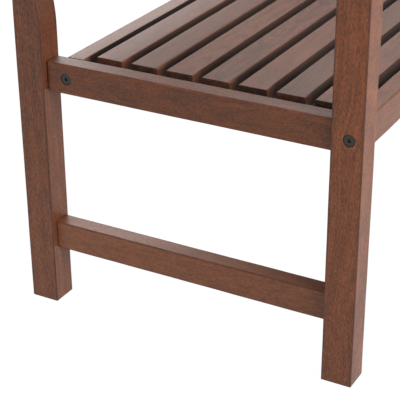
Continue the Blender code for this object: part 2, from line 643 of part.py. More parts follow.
def make_rail_fixings(rail, parent, middle, outer_x, end_x, nut_axis, nut_length):
    """The bolt and barrel nut at each end of a rail whose middle is given."""
    for word, end in ENDS.items():
        inward = ALONG * -end
        length = outer_x - end_x + FIT + BOLT_GRIP
        make_bolt(f"{rail}_bolt_{word}", parent, middle + ALONG * (end * outer_x), inward, length)
        nut_middle = middle + ALONG * (end * (end_x - FIT - NUT_INSET))
        make_nut(f"{rail}_nut_{word}", parent, nut_middle, nut_axis, nut_length)


def make_fixings(bench, back):
    """Bolts and barrel nuts of the front and rear rails and of the back's two rails."""
    front = Vector((0.0, FRONT_RAIL_Y, SEAT_RAIL_Z))
    rear = Vector((0.0, REAR_RAIL_Y, SEAT_RAIL_Z))
    top = UPWARD * TOP_RAIL_UP
    bottom = UPWARD * BOTTOM_RAIL_UP
    make_rail_fixings("front_rail", bench, front, OUTER_X, INNER_X, UPWARD, SEAT_NUT_LENGTH)
    make_rail_fixings("rear_rail", bench, rear, SIDE_RAIL_OUTER_X, SIDE_RAIL_INNER_X, UPWARD, SEAT_NUT_LENGTH)
    make_rail_fixings("back_top", back, top, OUTER_X, INNER_X, REARWARD, BACK_NUT_LENGTH)
    make_rail_fixings("back_bottom", back, bottom, OUTER_X, INNER_X, REARWARD, BACK_NUT_LENGTH)


def main():
    """Builds the bench from the floor up."""
    clear_scene()
    bench = make_empty("bench", (0.0, (ARM_FRONT_OVERHANG - REARMOST) / 2.0, 0.0))
    back = make_empty("back", BACK_ORIGIN, bench, -RAKE_ANGLE)
    make_front_legs(bench)
    make_rear_legs(bench, back)
    make_side_rails(bench)
    make_stretchers(bench)
    make_seat_rail("front_rail", bench, FRONT_RAIL_Y, INNER_X, 1.0)
    make_seat_rail("rear_rail", bench, REAR_RAIL_Y, SIDE_RAIL_INNER_X, -1.0)
    make_battens(bench)
    make_seat_slats(bench)
    make_slat_screws(bench)
    make_armrests(bench)
    make_back_rail("back_top_rail", back, TOP_RAIL_UP, TOP_RAIL_DEPTH, TOP_STUB, -1.0)
    make_back_rail("back_bottom_rail", back, BOTTOM_RAIL_UP, BOTTOM_RAIL_DEPTH, BOTTOM_STUB, 1.0)
    make_back_slats(back)
    make_fixings(bench, back)


main()
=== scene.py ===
"""Looks of the two-seater garden bench: its planed and stained timbers, its bolts, and the studio.

Metres, +Z up. X runs along the seat and Y from the front to the back. Every piece takes its place from the
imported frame. A timber has three directions of its own: across and through its section, and along its grain.
"""

import logging
import math
import zlib
from dataclasses import dataclass, field
from enum import Enum
from typing import Callable, Iterable, Optional, Sequence, Union

import bpy
import numpy as np
from mathutils import Matrix, Vector


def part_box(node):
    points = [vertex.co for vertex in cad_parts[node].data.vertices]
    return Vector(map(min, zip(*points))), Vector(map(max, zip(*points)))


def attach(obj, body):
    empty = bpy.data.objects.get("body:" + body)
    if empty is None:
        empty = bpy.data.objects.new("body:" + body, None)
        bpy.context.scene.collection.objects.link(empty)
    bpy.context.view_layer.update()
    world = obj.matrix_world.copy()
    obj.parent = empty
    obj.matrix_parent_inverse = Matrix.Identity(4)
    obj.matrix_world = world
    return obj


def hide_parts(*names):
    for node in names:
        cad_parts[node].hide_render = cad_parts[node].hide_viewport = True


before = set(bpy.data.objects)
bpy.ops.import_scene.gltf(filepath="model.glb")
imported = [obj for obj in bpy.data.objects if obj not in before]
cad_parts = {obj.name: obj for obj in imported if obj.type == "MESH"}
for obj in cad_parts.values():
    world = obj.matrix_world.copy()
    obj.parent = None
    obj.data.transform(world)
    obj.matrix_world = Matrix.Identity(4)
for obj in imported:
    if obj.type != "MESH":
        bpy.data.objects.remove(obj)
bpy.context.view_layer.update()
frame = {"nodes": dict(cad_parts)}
LOG = logging.getLogger("bench")

# The bench rides on its one body, and pieces that touch keep the fit of the solids
BODY = "root"
FIT = 0.0003
MM = 1000.0

# Roundness of the surfaces: steps in a quarter turn of an arris, sides of bores and turned steel
ARC_STEPS = 5
SUPPORT = 0.0004
LEAST_RADIUS = 0.0002
STATION_PITCH = 0.022
BORE_SIDES = 48
STEEL_SIDES = 64
OVERRUN = 0.002
SMOOTH_ANGLE = math.radians(38.0)

# The back leans by the rake
RAKE = math.radians(10.0)
LEAN_SINE = math.sin(RAKE)
LEAN_COSINE = math.cos(RAKE)

Array = np.ndarray
Colour = tuple[float, float, float, float]
Triple = tuple[float, float, float]

WHITE: Colour = (1.0, 1.0, 1.0, 1.0)

# Straight up, and how far up an axis points that counts as upright
UP = np.array([0.0, 0.0, 1.0])
STEEP = 0.9


class End(Enum):
    """The two ends of the bench, with their side of X."""

    LEFT = ("left", -1.0)
    RIGHT = ("right", 1.0)

    @property
    def word(self) -> str:
        """The word in the nodes' names."""
        return self.value[0]

    @property
    def side(self) -> float:
        """Minus one on the left, plus one on the right."""
        return self.value[1]


class Run(Enum):
    """How a timber lies: its directions across, through and along the grain, right-handed."""

    SIDEWAYS = ((0.0, 1.0, 0.0), (0.0, 0.0, 1.0), (1.0, 0.0, 0.0))
    REARWARD = ((0.0, 0.0, 1.0), (1.0, 0.0, 0.0), (0.0, 1.0, 0.0))
    UPRIGHT = ((1.0, 0.0, 0.0), (0.0, 1.0, 0.0), (0.0, 0.0, 1.0))
    UP_THE_BACK = ((1.0, 0.0, 0.0), (0.0, LEAN_COSINE, -LEAN_SINE), (0.0, LEAN_SINE, LEAN_COSINE))
    ACROSS_THE_BACK = ((0.0, LEAN_COSINE, -LEAN_SINE), (0.0, LEAN_SINE, LEAN_COSINE), (1.0, 0.0, 0.0))

    @property
    def axes(self) -> Array:
        """The three directions as the rows of a matrix."""
        return np.array(self.value)


class Cut(Enum):
    """How a board was sawn from its log: where the heart of the tree lies beside it, in millimetres."""

    FLAT = (6.0, -55.0)
    RIFT = (-48.0, -52.0)
    QUARTER = (-90.0, 8.0)


@dataclass(frozen=True)
class Board:
    """The wood that one timber was cut from.

    Args:
        cut: how it was sawn.
        tone: lighter above zero, darker below.
        warmth: redder above zero, greyer below.
        figure: strength of its streaks, flecks and growth rings, 1 as usual.
        fade: change of its tone from the middle to its last end, and the other way to its first.
        worn: how much wear, with a painted lit line, its upper arrises get, 1 as usual; below zero, how dark
            a
        painted line stands along its arrises that face outwards, in place of their darker reflection.
        sides: how much painted shade darkens its forward side below its top, where it faces a gap in shade.
        ends: how much lighter its sawn ends are.
    """

    cut: Cut = Cut.RIFT
    tone: float = 0.0
    warmth: float = 0.0
    figure: float = 1.0
    fade: float = 0.0
    worn: float = 1.0
    sides: float = 0.0
    ends: float = 0.0


def seed_of(name: str) -> np.random.Generator:
    """Random numbers that depend on a piece's name only."""
    return np.random.default_rng(zlib.crc32(name.encode()))


def box_of(node: str) -> tuple[Array, Array]:
    """The middle of a node's box in the frame, and half its size."""
    low, high = (np.array(corner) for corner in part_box(node))
    return (low + high) / 2.0, (high - low) / 2.0


def stacked(*parts: Union[Array, float]) -> Array:
    """Vectors whose parts are arrays or numbers, brought to one shape."""
    return np.stack(np.broadcast_arrays(*parts), axis=-1)


def make_mesh(name: str, rings: Array) -> bpy.types.Mesh:
    """A closed skin over rings of points, with a flat face on the first and the last ring.

    Formula: point j of ring i joins point j + 1 of its ring and the same two points of ring i + 1, counted
    round the ring; the rings run right-handed about the way from the first to the last.

    Args:
        name: the mesh's name.
        rings: points, as an array of (rings, points round a ring, 3).

    Returns:
        The mesh, with its faces pointing outwards.
    """
    count, around = rings.shape[:2]
    index = np.arange(count * around).reshape(count, around)
    after = np.roll(index, -1, axis=1)
    walls = stacked(index[:-1], after[:-1], after[1:], index[1:]).reshape(-1, 4)
    faces = walls.tolist() + [index[0, ::-1].tolist(), index[-1].tolist()]
    mesh = bpy.data.meshes.new(name)
    mesh.from_pydata(rings.reshape(-1, 3).tolist(), [], faces)
    mesh.update()
    return mesh


def new_object(name: str, data: bpy.types.ID) -> bpy.types.Object:
    """Adds an object to the scene, at the origin.

    Args:
        name: its name.
        data: its mesh, camera or light.

    Returns:
        The object.
    """
    thing = bpy.data.objects.new(name, data)
    bpy.context.collection.objects.link(thing)
    return thing


def quarter_turns(steps: int) -> Array:
    """Angles from 0 to a quarter turn in equal steps."""
    return np.linspace(0.0, math.pi / 2.0, steps + 1)


def rounded_sections(across: Array, through: Array, radii: Array) -> Array:
    """Sections of a timber along its length, each a rectangle with four corners of its own radii.

    Formula: corner k turns from its starting angle through a quarter turn about a centre that lies its
    radius inside both faces, and one more point lies just beyond each end of the arc, on the flat.

    Args:
        across: half widths, one for each section.
        through: half thicknesses, one for each section.
        radii: corner radii (sections, 4), from the corner at plus across, minus through, anticlockwise.

    Returns:
        Points of (sections, points, 2).
    """
    starts = np.array([-0.5, 0.0, 0.5, 1.0]) * math.pi
    signs = np.array([(1.0, -1.0), (1.0, 1.0), (-1.0, 1.0), (-1.0, -1.0)])
    angles = starts[:, None] + quarter_turns(ARC_STEPS)
    spokes = stacked(np.cos(angles), np.sin(angles))
    centres = signs * (stacked(across, through)[:, None, :] - radii[:, :, None])
    arcs = centres[:, :, None, :] + radii[:, :, None, None] * spokes
    tangents = stacked(-np.sin(angles), np.cos(angles))
    before = arcs[:, :, :1] - SUPPORT * tangents[:, :1]
    after = arcs[:, :, -1:] + SUPPORT * tangents[:, -1:]
    return np.concatenate([before, arcs, after], axis=2).reshape(len(across), -1, 2)


def eased_distances(radius: float) -> Array:
    """Distances from a rounded end at which its sections lie, the last just past the rounding."""
    return np.append(radius * (1.0 - np.cos(quarter_turns(ARC_STEPS))), radius + SUPPORT)


def eased_inset(distance: Array, radius: float) -> Array:
    """How far a section is drawn in at a distance from a rounded end: r - sqrt(r^2 - (r - d)^2)."""
    rest = np.clip(radius - distance, 0.0, radius)
    return radius - np.sqrt(radius**2 - rest**2)


def hand_planed(stations: Array, depth: float, rng: np.random.Generator) -> Array:
    """Slow waves that planing and sanding leave along a face.

    Formula: the mean of three sines of unlike wavelengths and seeded phases, brought to 0 to 1, times depth.

    Args:
        stations: places along the face.
        depth: height of the waves.
        rng: random numbers for their phases.

    Returns:
        Depth of the face at each place.
    """
    waves = np.array([0.31, 0.17, 0.09])
    phases = rng.uniform(0.0, 2.0 * math.pi, len(waves))
    sines = np.sin(2.0 * math.pi * stations[:, None] / waves + phases)
    return depth * (0.5 + 0.5 * sines.mean(axis=1))


def turning_basis(axis: Array) -> tuple[Array, Array]:
    """Two directions square to an axis, right-handed about it.

    Formula: the first is the cross product of the axis with a direction that isn't near it, made a unit
    long, and the second is the cross product of the axis and the first.

    Args:
        axis: unit direction.

    Returns:
        The two directions.
    """
    helper = np.array([0.0, 1.0, 0.0]) if abs(axis[2]) > STEEP else UP
    first = np.cross(helper, axis)
    first /= np.linalg.norm(first)
    return first, np.cross(axis, first)


class Recess(Enum):
    """The outline of the driver's recess in a head: the number of its lobes and how deep they are."""

    HEXAGON = 6
    CROSS = 4

    def reach(self, angle: Array) -> Array:
        """Radius of the outline, 1 at its corners or tips.

        Formula: cos 30 / cos(a - 30) within each sixth of a hexagon, and for a cross a rounded fourfold
        wave, 0.42 in its bays.

        Args:
            angle: angles round the head.

        Returns:
            The radius at each of them.
        """
        if self is Recess.HEXAGON:
            sixth = math.pi / 3.0
            return math.cos(sixth / 2.0) / np.cos(np.mod(angle, sixth) - sixth / 2.0)
        return 0.42 + 0.58 * np.cos(2.0 * angle) ** 4


def turned_rings(
    profile: Sequence[Triple], start: Array, axis: Array, sides: int, recess: Recess = Recess.HEXAGON
) -> Array:
    """Rings of a turned piece.

    Formula: start + axis * distance + radius * shape(t) * (cos t * u + sin t * v), where shape is 1, or the
    recess's outline, or a share of both.

    Args:
        profile: distance along the axis, radius, and share of the recess's outline, for each ring.
        start: where the axis starts.
        axis: unit direction.
        sides: points round a ring.
        recess: the outline that rings in the head's recess follow.

    Returns:
        Points of (rings, sides, 3).
    """
    distance, radius, share = np.array(profile).T
    first, second = turning_basis(axis)
    angle = np.arange(sides) * 2.0 * math.pi / sides
    spokes = np.cos(angle)[:, None] * first + np.sin(angle)[:, None] * second
    shape = 1.0 + share[:, None] * (recess.reach(angle) - 1.0)
    return start + distance[:, None, None] * axis + (radius[:, None] * shape)[:, :, None] * spokes


def bore_rings(start: Array, axis: Array, *steps: tuple[float, float]) -> Array:
    """A round hole, a fit wider than what enters it.

    Args:
        start: where the hole starts.
        axis: unit direction into it.
        steps: radius of what enters each step of the hole, and how far from the start the step ends.

    Returns:
        Rings of the cutter.
    """
    profile, reached = [], 0.0
    for radius, end in steps:
        profile += [(reached, radius + FIT, 0.0), (end, radius + FIT, 0.0)]
        reached = end
    return turned_rings(profile, start, axis, BORE_SIDES)


def box_rings(centre: Array, half: Array, axes: Array) -> Array:
    """A box, as two rings of four corners.

    Args:
        centre: its middle.
        half: half its size along each of its three directions.
        axes: the directions, as rows.

    Returns:
        Points of (2, 4, 3).
    """
    corners = np.array([(1.0, -1.0), (1.0, 1.0), (-1.0, 1.0), (-1.0, -1.0)])
    flat = corners[:, :1] * half[0] * axes[0] + corners[:, 1:] * half[1] * axes[1]
    ends = np.array([-1.0, 1.0])[:, None, None] * half[2] * axes[2]
    return centre + flat[None] + ends


def carve(piece: bpy.types.Object, cutters: Iterable[Array], tongues: Iterable[Array] = ()) -> None:
    """Joins closed skins to a piece, cuts others out of it, and keeps the result as its mesh.

    Args:
        piece: the piece, at the origin.
        cutters: rings of each skin that is cut out; they may cross each other.
        tongues: rings of each skin that is joined on first.
    """
    jobs = [("UNION", rings) for rings in tongues] + [("DIFFERENCE", rings) for rings in cutters]
    if not jobs:
        return
    tools = []
    for operation, rings in jobs:
        tool = new_object("tool", make_mesh("tool", rings))
        modifier = piece.modifiers.new("joint", "BOOLEAN")
        modifier.operation = operation
        modifier.solver = "EXACT"
        modifier.object = tool
        tools.append(tool)
    evaluated = piece.evaluated_get(bpy.context.evaluated_depsgraph_get())
    old = piece.data
    piece.data = bpy.data.meshes.new_from_object(evaluated)
    piece.modifiers.clear()
    bpy.data.meshes.remove(old)
    for tool in tools:
        mesh = tool.data
        bpy.data.objects.remove(tool)
        bpy.data.meshes.remove(mesh)


def dress(piece: bpy.types.Object, finish: "Finish", *nodes: str) -> None:
    """Shades a piece, gives it its finish, sets it on the body and lets it stand for its nodes.

    Args:
        piece: the piece.
        finish: its finish.
        nodes: the nodes that it replaces.
    """
    piece.data.shade_smooth()
    piece.data.set_sharp_from_angle(angle=SMOOTH_ANGLE)
    piece.data.materials.clear()
    piece.data.materials.append(finish.material())
    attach(piece, BODY)
    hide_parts(*nodes)
    LOG.info("%s: %d faces in %s", piece.name, len(piece.data.polygons), finish.name)


Value = Union["Wire", float, Sequence[float]]


def math_node(operation: str, swapped: bool = False) -> Callable[..., "Wire"]:
    """Makes an operator of wires that adds a Math node.

    Args:
        operation: the node's operation.
        swapped: whether the other value comes first.

    Returns:
        The operator.
    """

    def apply(wire: "Wire", *others: Value) -> "Wire":
        """Adds the node for a wire and up to one other value."""
        values = (*others, wire) if swapped else (wire, *others)
        return wire.sheet.node("Math", {"operation": operation}, dict(enumerate(values)))

    return apply


class Wire:
    """An output socket of a shader; arithmetic on it adds Math nodes.

    Most gives the larger of two, and zigzag rises from 0 to a span and falls back, over and over.
    """

    __add__ = __radd__ = math_node("ADD")
    __mul__ = __rmul__ = math_node("MULTIPLY")
    __sub__ = math_node("SUBTRACT")
    __rsub__ = math_node("SUBTRACT", swapped=True)
    __truediv__ = math_node("DIVIDE")
    __pow__ = math_node("POWER")
    __abs__ = math_node("ABSOLUTE")
    most = math_node("MAXIMUM")
    zigzag = math_node("PINGPONG")

    def __init__(self, sheet: "NodeSheet", socket: bpy.types.NodeSocket) -> None:
        """Wraps a socket of a sheet."""
        self.sheet = sheet
        self.socket = socket

    def step(self, low: Value, high: Value) -> "Wire":
        """0 below low, 1 above high, and a smooth rise between them."""
        inputs = {"Value": self, "From Min": low, "From Max": high}
        return self.sheet.node("MapRange", {"interpolation_type": "SMOOTHSTEP"}, inputs)


class NodeSheet:
    """The node tree of a material, world or lamp, to which one method adds every node."""

    def __init__(self, tree: bpy.types.NodeTree) -> None:
        """Empties the tree."""
        self.tree = tree
        tree.nodes.clear()

    def node(self, kind: str, settings: Optional[dict] = None, inputs: Optional[dict] = None,
             output: Union[int, str] = 0) -> Wire:
        """Adds a node.

        Args:
            kind: the node's type, without ShaderNode in front.
            settings: its own settings, set first; stops are a colour ramp's (position, colour) pairs.
            inputs: values or wires for its input sockets, by name or number.
            output: the output socket to return.

        Returns:
            That output.
        """
        node = self.tree.nodes.new(f"ShaderNode{kind}")
        for key, value in (settings or {}).items():
            if key == "stops":
                self._set_stops(node.color_ramp, value)
            else:
                setattr(node, key, value)
        for key, value in (inputs or {}).items():
            if isinstance(value, Wire):
                self.tree.links.new(value.socket, node.inputs[key])
            else:
                node.inputs[key].default_value = value
        return Wire(self, node.outputs[output] if len(node.outputs) else None)

    @staticmethod
    def _set_stops(ramp: bpy.types.ColorRamp, stops: Sequence[tuple[float, Colour]]) -> None:
        """Gives a colour ramp its stops.

        Args:
            ramp: the ramp.
            stops: position and colour of each.
        """
        while len(ramp.elements) < len(stops):
            ramp.elements.new(1.0)
        for element, (position, colour) in zip(ramp.elements, stops):
            element.position = position
            element.color = colour

    def attribute(self, name: str) -> Wire:
        """A vector attribute of the mesh."""
        return self.node("Attribute", {"attribute_name": name}, output="Vector")

    def parts(self, vector: Wire) -> tuple[Wire, Wire, Wire]:
        """The three parts of a vector."""
        node = self.node("SeparateXYZ", None, {0: vector}).socket.node
        return tuple(Wire(self, socket) for socket in node.outputs)

    def joined(self, first: Value, second: Value, third: Value) -> Wire:
        """A vector of three parts."""
        return self.node("CombineXYZ", None, {0: first, 1: second, 2: third})

    def stretched(self, vector: Wire, lengths: Triple) -> Wire:
        """A vector measured in a length of its own along each axis."""
        scale = tuple(1.0 / length for length in lengths)
        return self.node("VectorMath", {"operation": "MULTIPLY"}, {0: vector, 1: scale})

    def noise(self, vector: Wire, lengths: Triple, detail: float = 2.0, output: str = "Fac") -> Wire:
        """Smooth noise, about 0.5 in the mean, whose patches have the given lengths along the axes."""
        inputs = {"Vector": self.stretched(vector, lengths), "Scale": 1.0, "Detail": detail}
        return self.node("TexNoise", {"noise_dimensions": "3D"}, inputs, output)

    def blend(self, factor: Value, first: Value, second: Value, way: str = "MIX") -> Wire:
        """Two colours mixed by a factor."""
        settings = {"data_type": "RGBA", "blend_type": way, "clamp_factor": True}
        return self.node("Mix", settings, {0: factor, 6: first, 7: second}, 2)


def new_material(name: str) -> tuple[bpy.types.Material, NodeSheet]:
    """Makes a material.

    Args:
        name: its name.

    Returns:
        The material and its empty node sheet.
    """
    material = bpy.data.materials.new(name)
    material.use_nodes = True
    return material, NodeSheet(material.node_tree)


@dataclass(frozen=True)
class Finish:
    """A finish, made into a material when it is first asked for.

    Args:
        name: the material's name.
        slot: name of its material slot; not used.
    """

    name: str
    slot: str

    def material(self) -> bpy.types.Material:
        """The finish as a material."""
        material = bpy.data.materials.get(self.name)
        if material is None:
            material, sheet = new_material(self.name)
            shader = sheet.node("BsdfPrincipled", None, self.surface(sheet))
            sheet.node("OutputMaterial", None, {"Surface": shader})
        return material

    def surface(self, sheet: NodeSheet) -> dict[str, Value]:
        """The inputs of its shader."""
        raise NotImplementedError


class Pattern(Enum):
    """Patterns of the wood: lengths across, through and along the grain in millimetres, and detail.

    The last pair, where there is one, is the two levels of the noise between which the pattern sets in.
    """

    WANDER = ((90.0, 90.0, 240.0), 1.0)
    STREAK = ((9.0, 9.0, 300.0), 2.0)
    LINE = ((1.4, 5.0, 46.0), 2.0)
    BLOTCH = ((15.0, 15.0, 34.0), 2.0)
    PORES = ((0.55, 0.55, 6.0), 1.0, (0.56, 0.70))
    CLUSTERS = ((1.2, 1.2, 6.0), 1.0, (0.55, 0.68))
    BREAKS = ((3.0, 3.0, 30.0), 2.0, (0.36, 0.62))
    PATCHES = ((9.0, 9.0, 900.0), 1.0, (0.42, 0.62))
    GLOSS = ((14.0, 14.0, 70.0), 2.0)

    def over(self, sheet: NodeSheet, vector: Wire) -> Wire:
        """The pattern over a surface.

        Args:
            sheet: the material's nodes.
            vector: place in millimetres across, through and along the grain.

        Returns:
            Its strength, from 0 to 1.
        """
        lengths, detail, *levels = self.value
        noise = sheet.noise(vector, lengths, detail)
        return noise.step(*levels[0]) if levels else noise


@dataclass(frozen=True)
class WoodFinish(Finish):
    """Open-grained hardwood, stained mid brown and oiled to a satin sheen. Lengths are in millimetres.

    Args:
        dark: colour of pores and late wood, and of the painted dark line along outward arrises.
        deep: colour between dark and middle.
        middle: the usual colour.
        light: colour of the palest streaks.
        end_grain_and_gap_shade: colour of sawn ends, which drink more stain, and of the painted shade on a
            forward side.
        worn: colour of arrises worn through, and of the painted lit line along upper arrises.
        ring_width: width of a growth ring.
        ring_share: how much rings darken the wood.
        line_share: strength of the lines along the grain.
        blotch_share: strength of its soft patches.
        fleck_share: strength of its short flecks.
        fleck_length: their length.
        pore_share: how much pores darken the wood.
        gloss_loss: roughness of the flat wood.
        bloom: pale bloom of its fibres at grazing angles.
        relief: how strongly pores and fibres stand in the surface.
    """

    dark: Colour = (0.060, 0.020, 0.010, 1.0)
    deep: Colour = (0.112, 0.036, 0.014, 1.0)
    middle: Colour = (0.168, 0.052, 0.020, 1.0)
    light: Colour = (0.262, 0.092, 0.040, 1.0)
    end_grain_and_gap_shade: Colour = (0.018, 0.009, 0.006, 1.0)
    worn: Colour = (0.330, 0.125, 0.052, 1.0)
    ring_width: float = 3.4
    ring_share: float = 0.10
    line_share: float = 0.40
    blotch_share: float = 0.36
    fleck_share: float = 0.95
    fleck_length: float = 5.0
    pore_share: float = 0.30
    gloss_loss: float = 0.42
    bloom: float = 0.05
    relief: float = 0.35

    # How far the heart wanders, how patterns spread round the rings, and the make of the flecks
    WANDER_REACH = 26.0
    RING_SPREAD = 0.08
    FLECK_WIDTH = 1.5
    FLECK_DETAIL = 1.5

    # Shades of the four colours, and tints from the greyest to the reddest board
    SHADES = (0.05, 0.33, 0.55, 0.92)
    MIDDLE_SHADE = 0.53
    GREY_TINT = (0.93, 1.02, 1.14, 1.0)
    RED_TINT = (1.07, 0.98, 0.84, 1.0)

    # Bands in which an effect sets in or fades: from an arris, below the top, from a side and from an end.
    # The painted shade on a forward side deepens below the top and fades away from the side and near the
    # ends.
    WORN_AND_LIT_BAND = (0.3, 2.2)
    DARK_ARRIS_BAND = (1.2, 3.2)
    TOP_BAND = (2.5, 8.0)
    SIDE_BAND = (0.5, 2.4)
    FROM_END = (2.0, 34.0)
    END_BAND = (0.15, 1.1)

    # The same for the normal: how far it rises, for the worn and lit upper arrises, and how far it faces
    # outwards, for the painted dark line on outward arrises
    RISING = (0.10, 0.60)
    OUTWARD = (0.0, 0.12)

    # Most of the colour that wear with its painted lit line, and the painted shade on a forward side, bring
    WORN_AND_LIT_SHARE = 0.45
    GAP_SHADE_SHARE = 0.92

    # The oiled surface, with the depth of its pores in metres
    PORE_DEPTH = 0.00022
    OIL_IOR = 1.40
    BLOOM_ROUGHNESS = 0.45

    def surface(self, sheet: NodeSheet) -> dict[str, Value]:
        """The inputs of the wood's shader.

        Growth rings are circles about the heart of the tree, which wanders and slopes a little along the
        board, so that they show as straight lines, or as arches where the board is sawn flat.

        Args:
            sheet: the material's nodes.

        Returns:
            The inputs by name.
        """
        grain = sheet.attribute("grain")
        across, through, along = sheet.parts(sheet.attribute("place"))
        tone, warmth, figure = sheet.parts(sheet.attribute("board"))
        heart_across, heart_through, slope = sheet.parts(sheet.attribute("heart"))
        worn, sides, ends = sheet.parts(sheet.attribute("marks"))

        # Distance from the heart, which wanders and slopes along the board
        wander = sheet.noise(grain, *Pattern.WANDER.value, "Color")
        wander_across, wander_through, _ = sheet.parts(wander)
        run_across = across - heart_across + self.WANDER_REACH * (wander_across - 0.5)
        run_through = through - heart_through + slope * along + self.WANDER_REACH * (wander_through - 0.5)
        ring_radius = (run_across * run_across + run_through * run_through) ** 0.5

        # A ring darkens as the cube of a zigzag over its width; other patterns follow the rings or the grain
        ring = ((ring_radius / self.ring_width).zigzag(0.5) * 2.0) ** 3.0
        grain_across, _, grain_along = sheet.parts(grain)
        ringwise = sheet.joined(ring_radius + grain_across, run_across * self.RING_SPREAD, grain_along)
        streak = Pattern.STREAK.over(sheet, ringwise)
        line = Pattern.LINE.over(sheet, ringwise)
        blotch = Pattern.BLOTCH.over(sheet, grain)
        fleck = sheet.noise(grain, (self.FLECK_WIDTH, self.FLECK_WIDTH, self.fleck_length), self.FLECK_DETAIL)
        pores = Pattern.PORES.over(sheet, grain)
        clusters = Pattern.CLUSTERS.over(sheet, grain)

        # The stained colour: the middle shade and tone, plus each pattern's share, looked up in four colours
        shade = (
            self.MIDDLE_SHADE + tone
            + figure * (self.line_share * (streak + line - 1.0) + self.fleck_share * (fleck - 0.5))
            + self.blotch_share * (blotch - 0.5)
            - figure * self.ring_share * ring
            - self.pore_share * (0.40 * pores + 0.60 * clusters)
        )
        stops = list(zip(self.SHADES, (self.dark, self.deep, self.middle, self.light)))
        colour = sheet.node("ValToRGB", {"stops": stops}, {0: shade})
        redness = (0.5 + warmth + 0.25 * (blotch - 0.5)).step(0.0, 1.0)
        colour = sheet.blend(1.0, colour, sheet.blend(redness, self.GREY_TINT, self.RED_TINT), "MULTIPLY")

        # Arrises, forward side and sawn ends: each mark times the bands in which it shows blends in a colour;
        # the marks on the arrises and the forward side are partly or wholly painted light and shade
        from_arris, painted_shade_side, end_face = self.edges(sheet, across, through, along)
        facing = sheet.node("NewGeometry", None, None, "Normal")
        _, _, rise = sheet.parts(facing)
        broken = Pattern.BREAKS.over(sheet, grain)
        # Upper arrises: wear, and a painted lit line where they turn up towards the light
        worn_and_lit_arris = worn * (1.0 - from_arris.step(*self.WORN_AND_LIT_BAND)) * rise.step(*self.RISING) * broken
        colour = sheet.blend(worn_and_lit_arris * self.WORN_AND_LIT_SHARE, colour, self.worn)
        # Outward arrises: a painted dark line in place of their darker reflection
        painted_dark_arris = (worn * -1.0) * (1.0 - from_arris.step(*self.DARK_ARRIS_BAND)) * self.outward(sheet, facing)
        colour = sheet.blend(painted_dark_arris * (0.60 + 0.25 * broken), colour, self.dark)
        _, half_through, _ = sheet.parts(sheet.attribute("half"))
        # Forward side: painted shade, deeper below the top, where the gap between boards lies in shade
        painted_gap_shade = sides * painted_shade_side * (0.86 + 0.14 * (half_through - through).step(*self.TOP_BAND))
        colour = sheet.blend(painted_gap_shade * self.GAP_SHADE_SHARE, colour, self.end_grain_and_gap_shade)
        patches = Pattern.PATCHES.over(sheet, grain)
        end_shade = (0.14 + ends + 1.1 * ring * patches + 0.9 * (fleck - 0.5)).step(0.0, 1.1)
        colour = sheet.blend(end_face, colour, sheet.blend(end_shade, self.end_grain_and_gap_shade, self.middle))

        # Gloss and relief: weighted sums of the patterns
        gloss = Pattern.GLOSS.over(sheet, grain)
        roughness = (self.gloss_loss + 0.08 * (gloss - 0.5) + 0.10 * pores + 0.16 * end_face
                     + 0.60 * painted_gap_shade - 0.05 * worn_and_lit_arris.most(0.0))
        height = 0.5 * line + 0.4 * fleck - 0.7 * pores - 0.4 * clusters
        bump = {"Strength": self.relief, "Distance": self.PORE_DEPTH, "Height": height}
        return {
            "Base Color": colour,
            "Roughness": roughness,
            "Normal": sheet.node("Bump", None, bump),
            "IOR": self.OIL_IOR,
            "Sheen Weight": self.bloom,
            "Sheen Roughness": self.BLOOM_ROUGHNESS,
        }

    def outward(self, sheet: NodeSheet, facing: Wire) -> Wire:
        """Where the surface faces away from the middle of the bench, as seen from above.

        Formula: the level part of the place, in metres from the middle, dotted with the surface's normal.

        Args:
            sheet: the material's nodes.
            facing: the normal.

        Returns:
            1 where it faces away, and 0 where it faces in.
        """
        place_x, place_y, _ = sheet.parts(sheet.node("TexCoord", None, None, "Object"))
        level = sheet.joined(place_x, place_y, 0.0)
        lean = sheet.node("VectorMath", {"operation": "DOT_PRODUCT"}, {0: level, 1: facing}, "Value")
        return lean.step(*self.OUTWARD)

    def edges(self, sheet: NodeSheet, across: Wire, through: Wire, along: Wire) -> tuple[Wire, Wire, Wire]:
        """Where the arrises, the forward side and the end faces are.

        Formula: a point lies three distances inside its section and ends. On a face one of them is 0, and
        near an arris the two smallest are small together.

        Args:
            sheet: the material's nodes.
            across: place across the timber.
            through: place through it.
            along: place along it.

        Returns:
            Distance from the nearest arris, a mask of the side towards minus across and away from the ends,
            on which shade is painted, and a mask of the end faces, from 0 to 1.
        """
        half_across, half_through, half_along = sheet.parts(sheet.attribute("half"))
        in_across = half_across - abs(across)
        in_through = half_through - abs(through)
        in_along = half_along - abs(along)
        second = in_across + in_through + in_along - in_across.most(in_through).most(in_along)
        painted_shade_side = (1.0 - (half_across + across).step(*self.SIDE_BAND)) * in_along.step(*self.FROM_END)
        return second, painted_shade_side, 1.0 - in_along.step(*self.END_BAND)


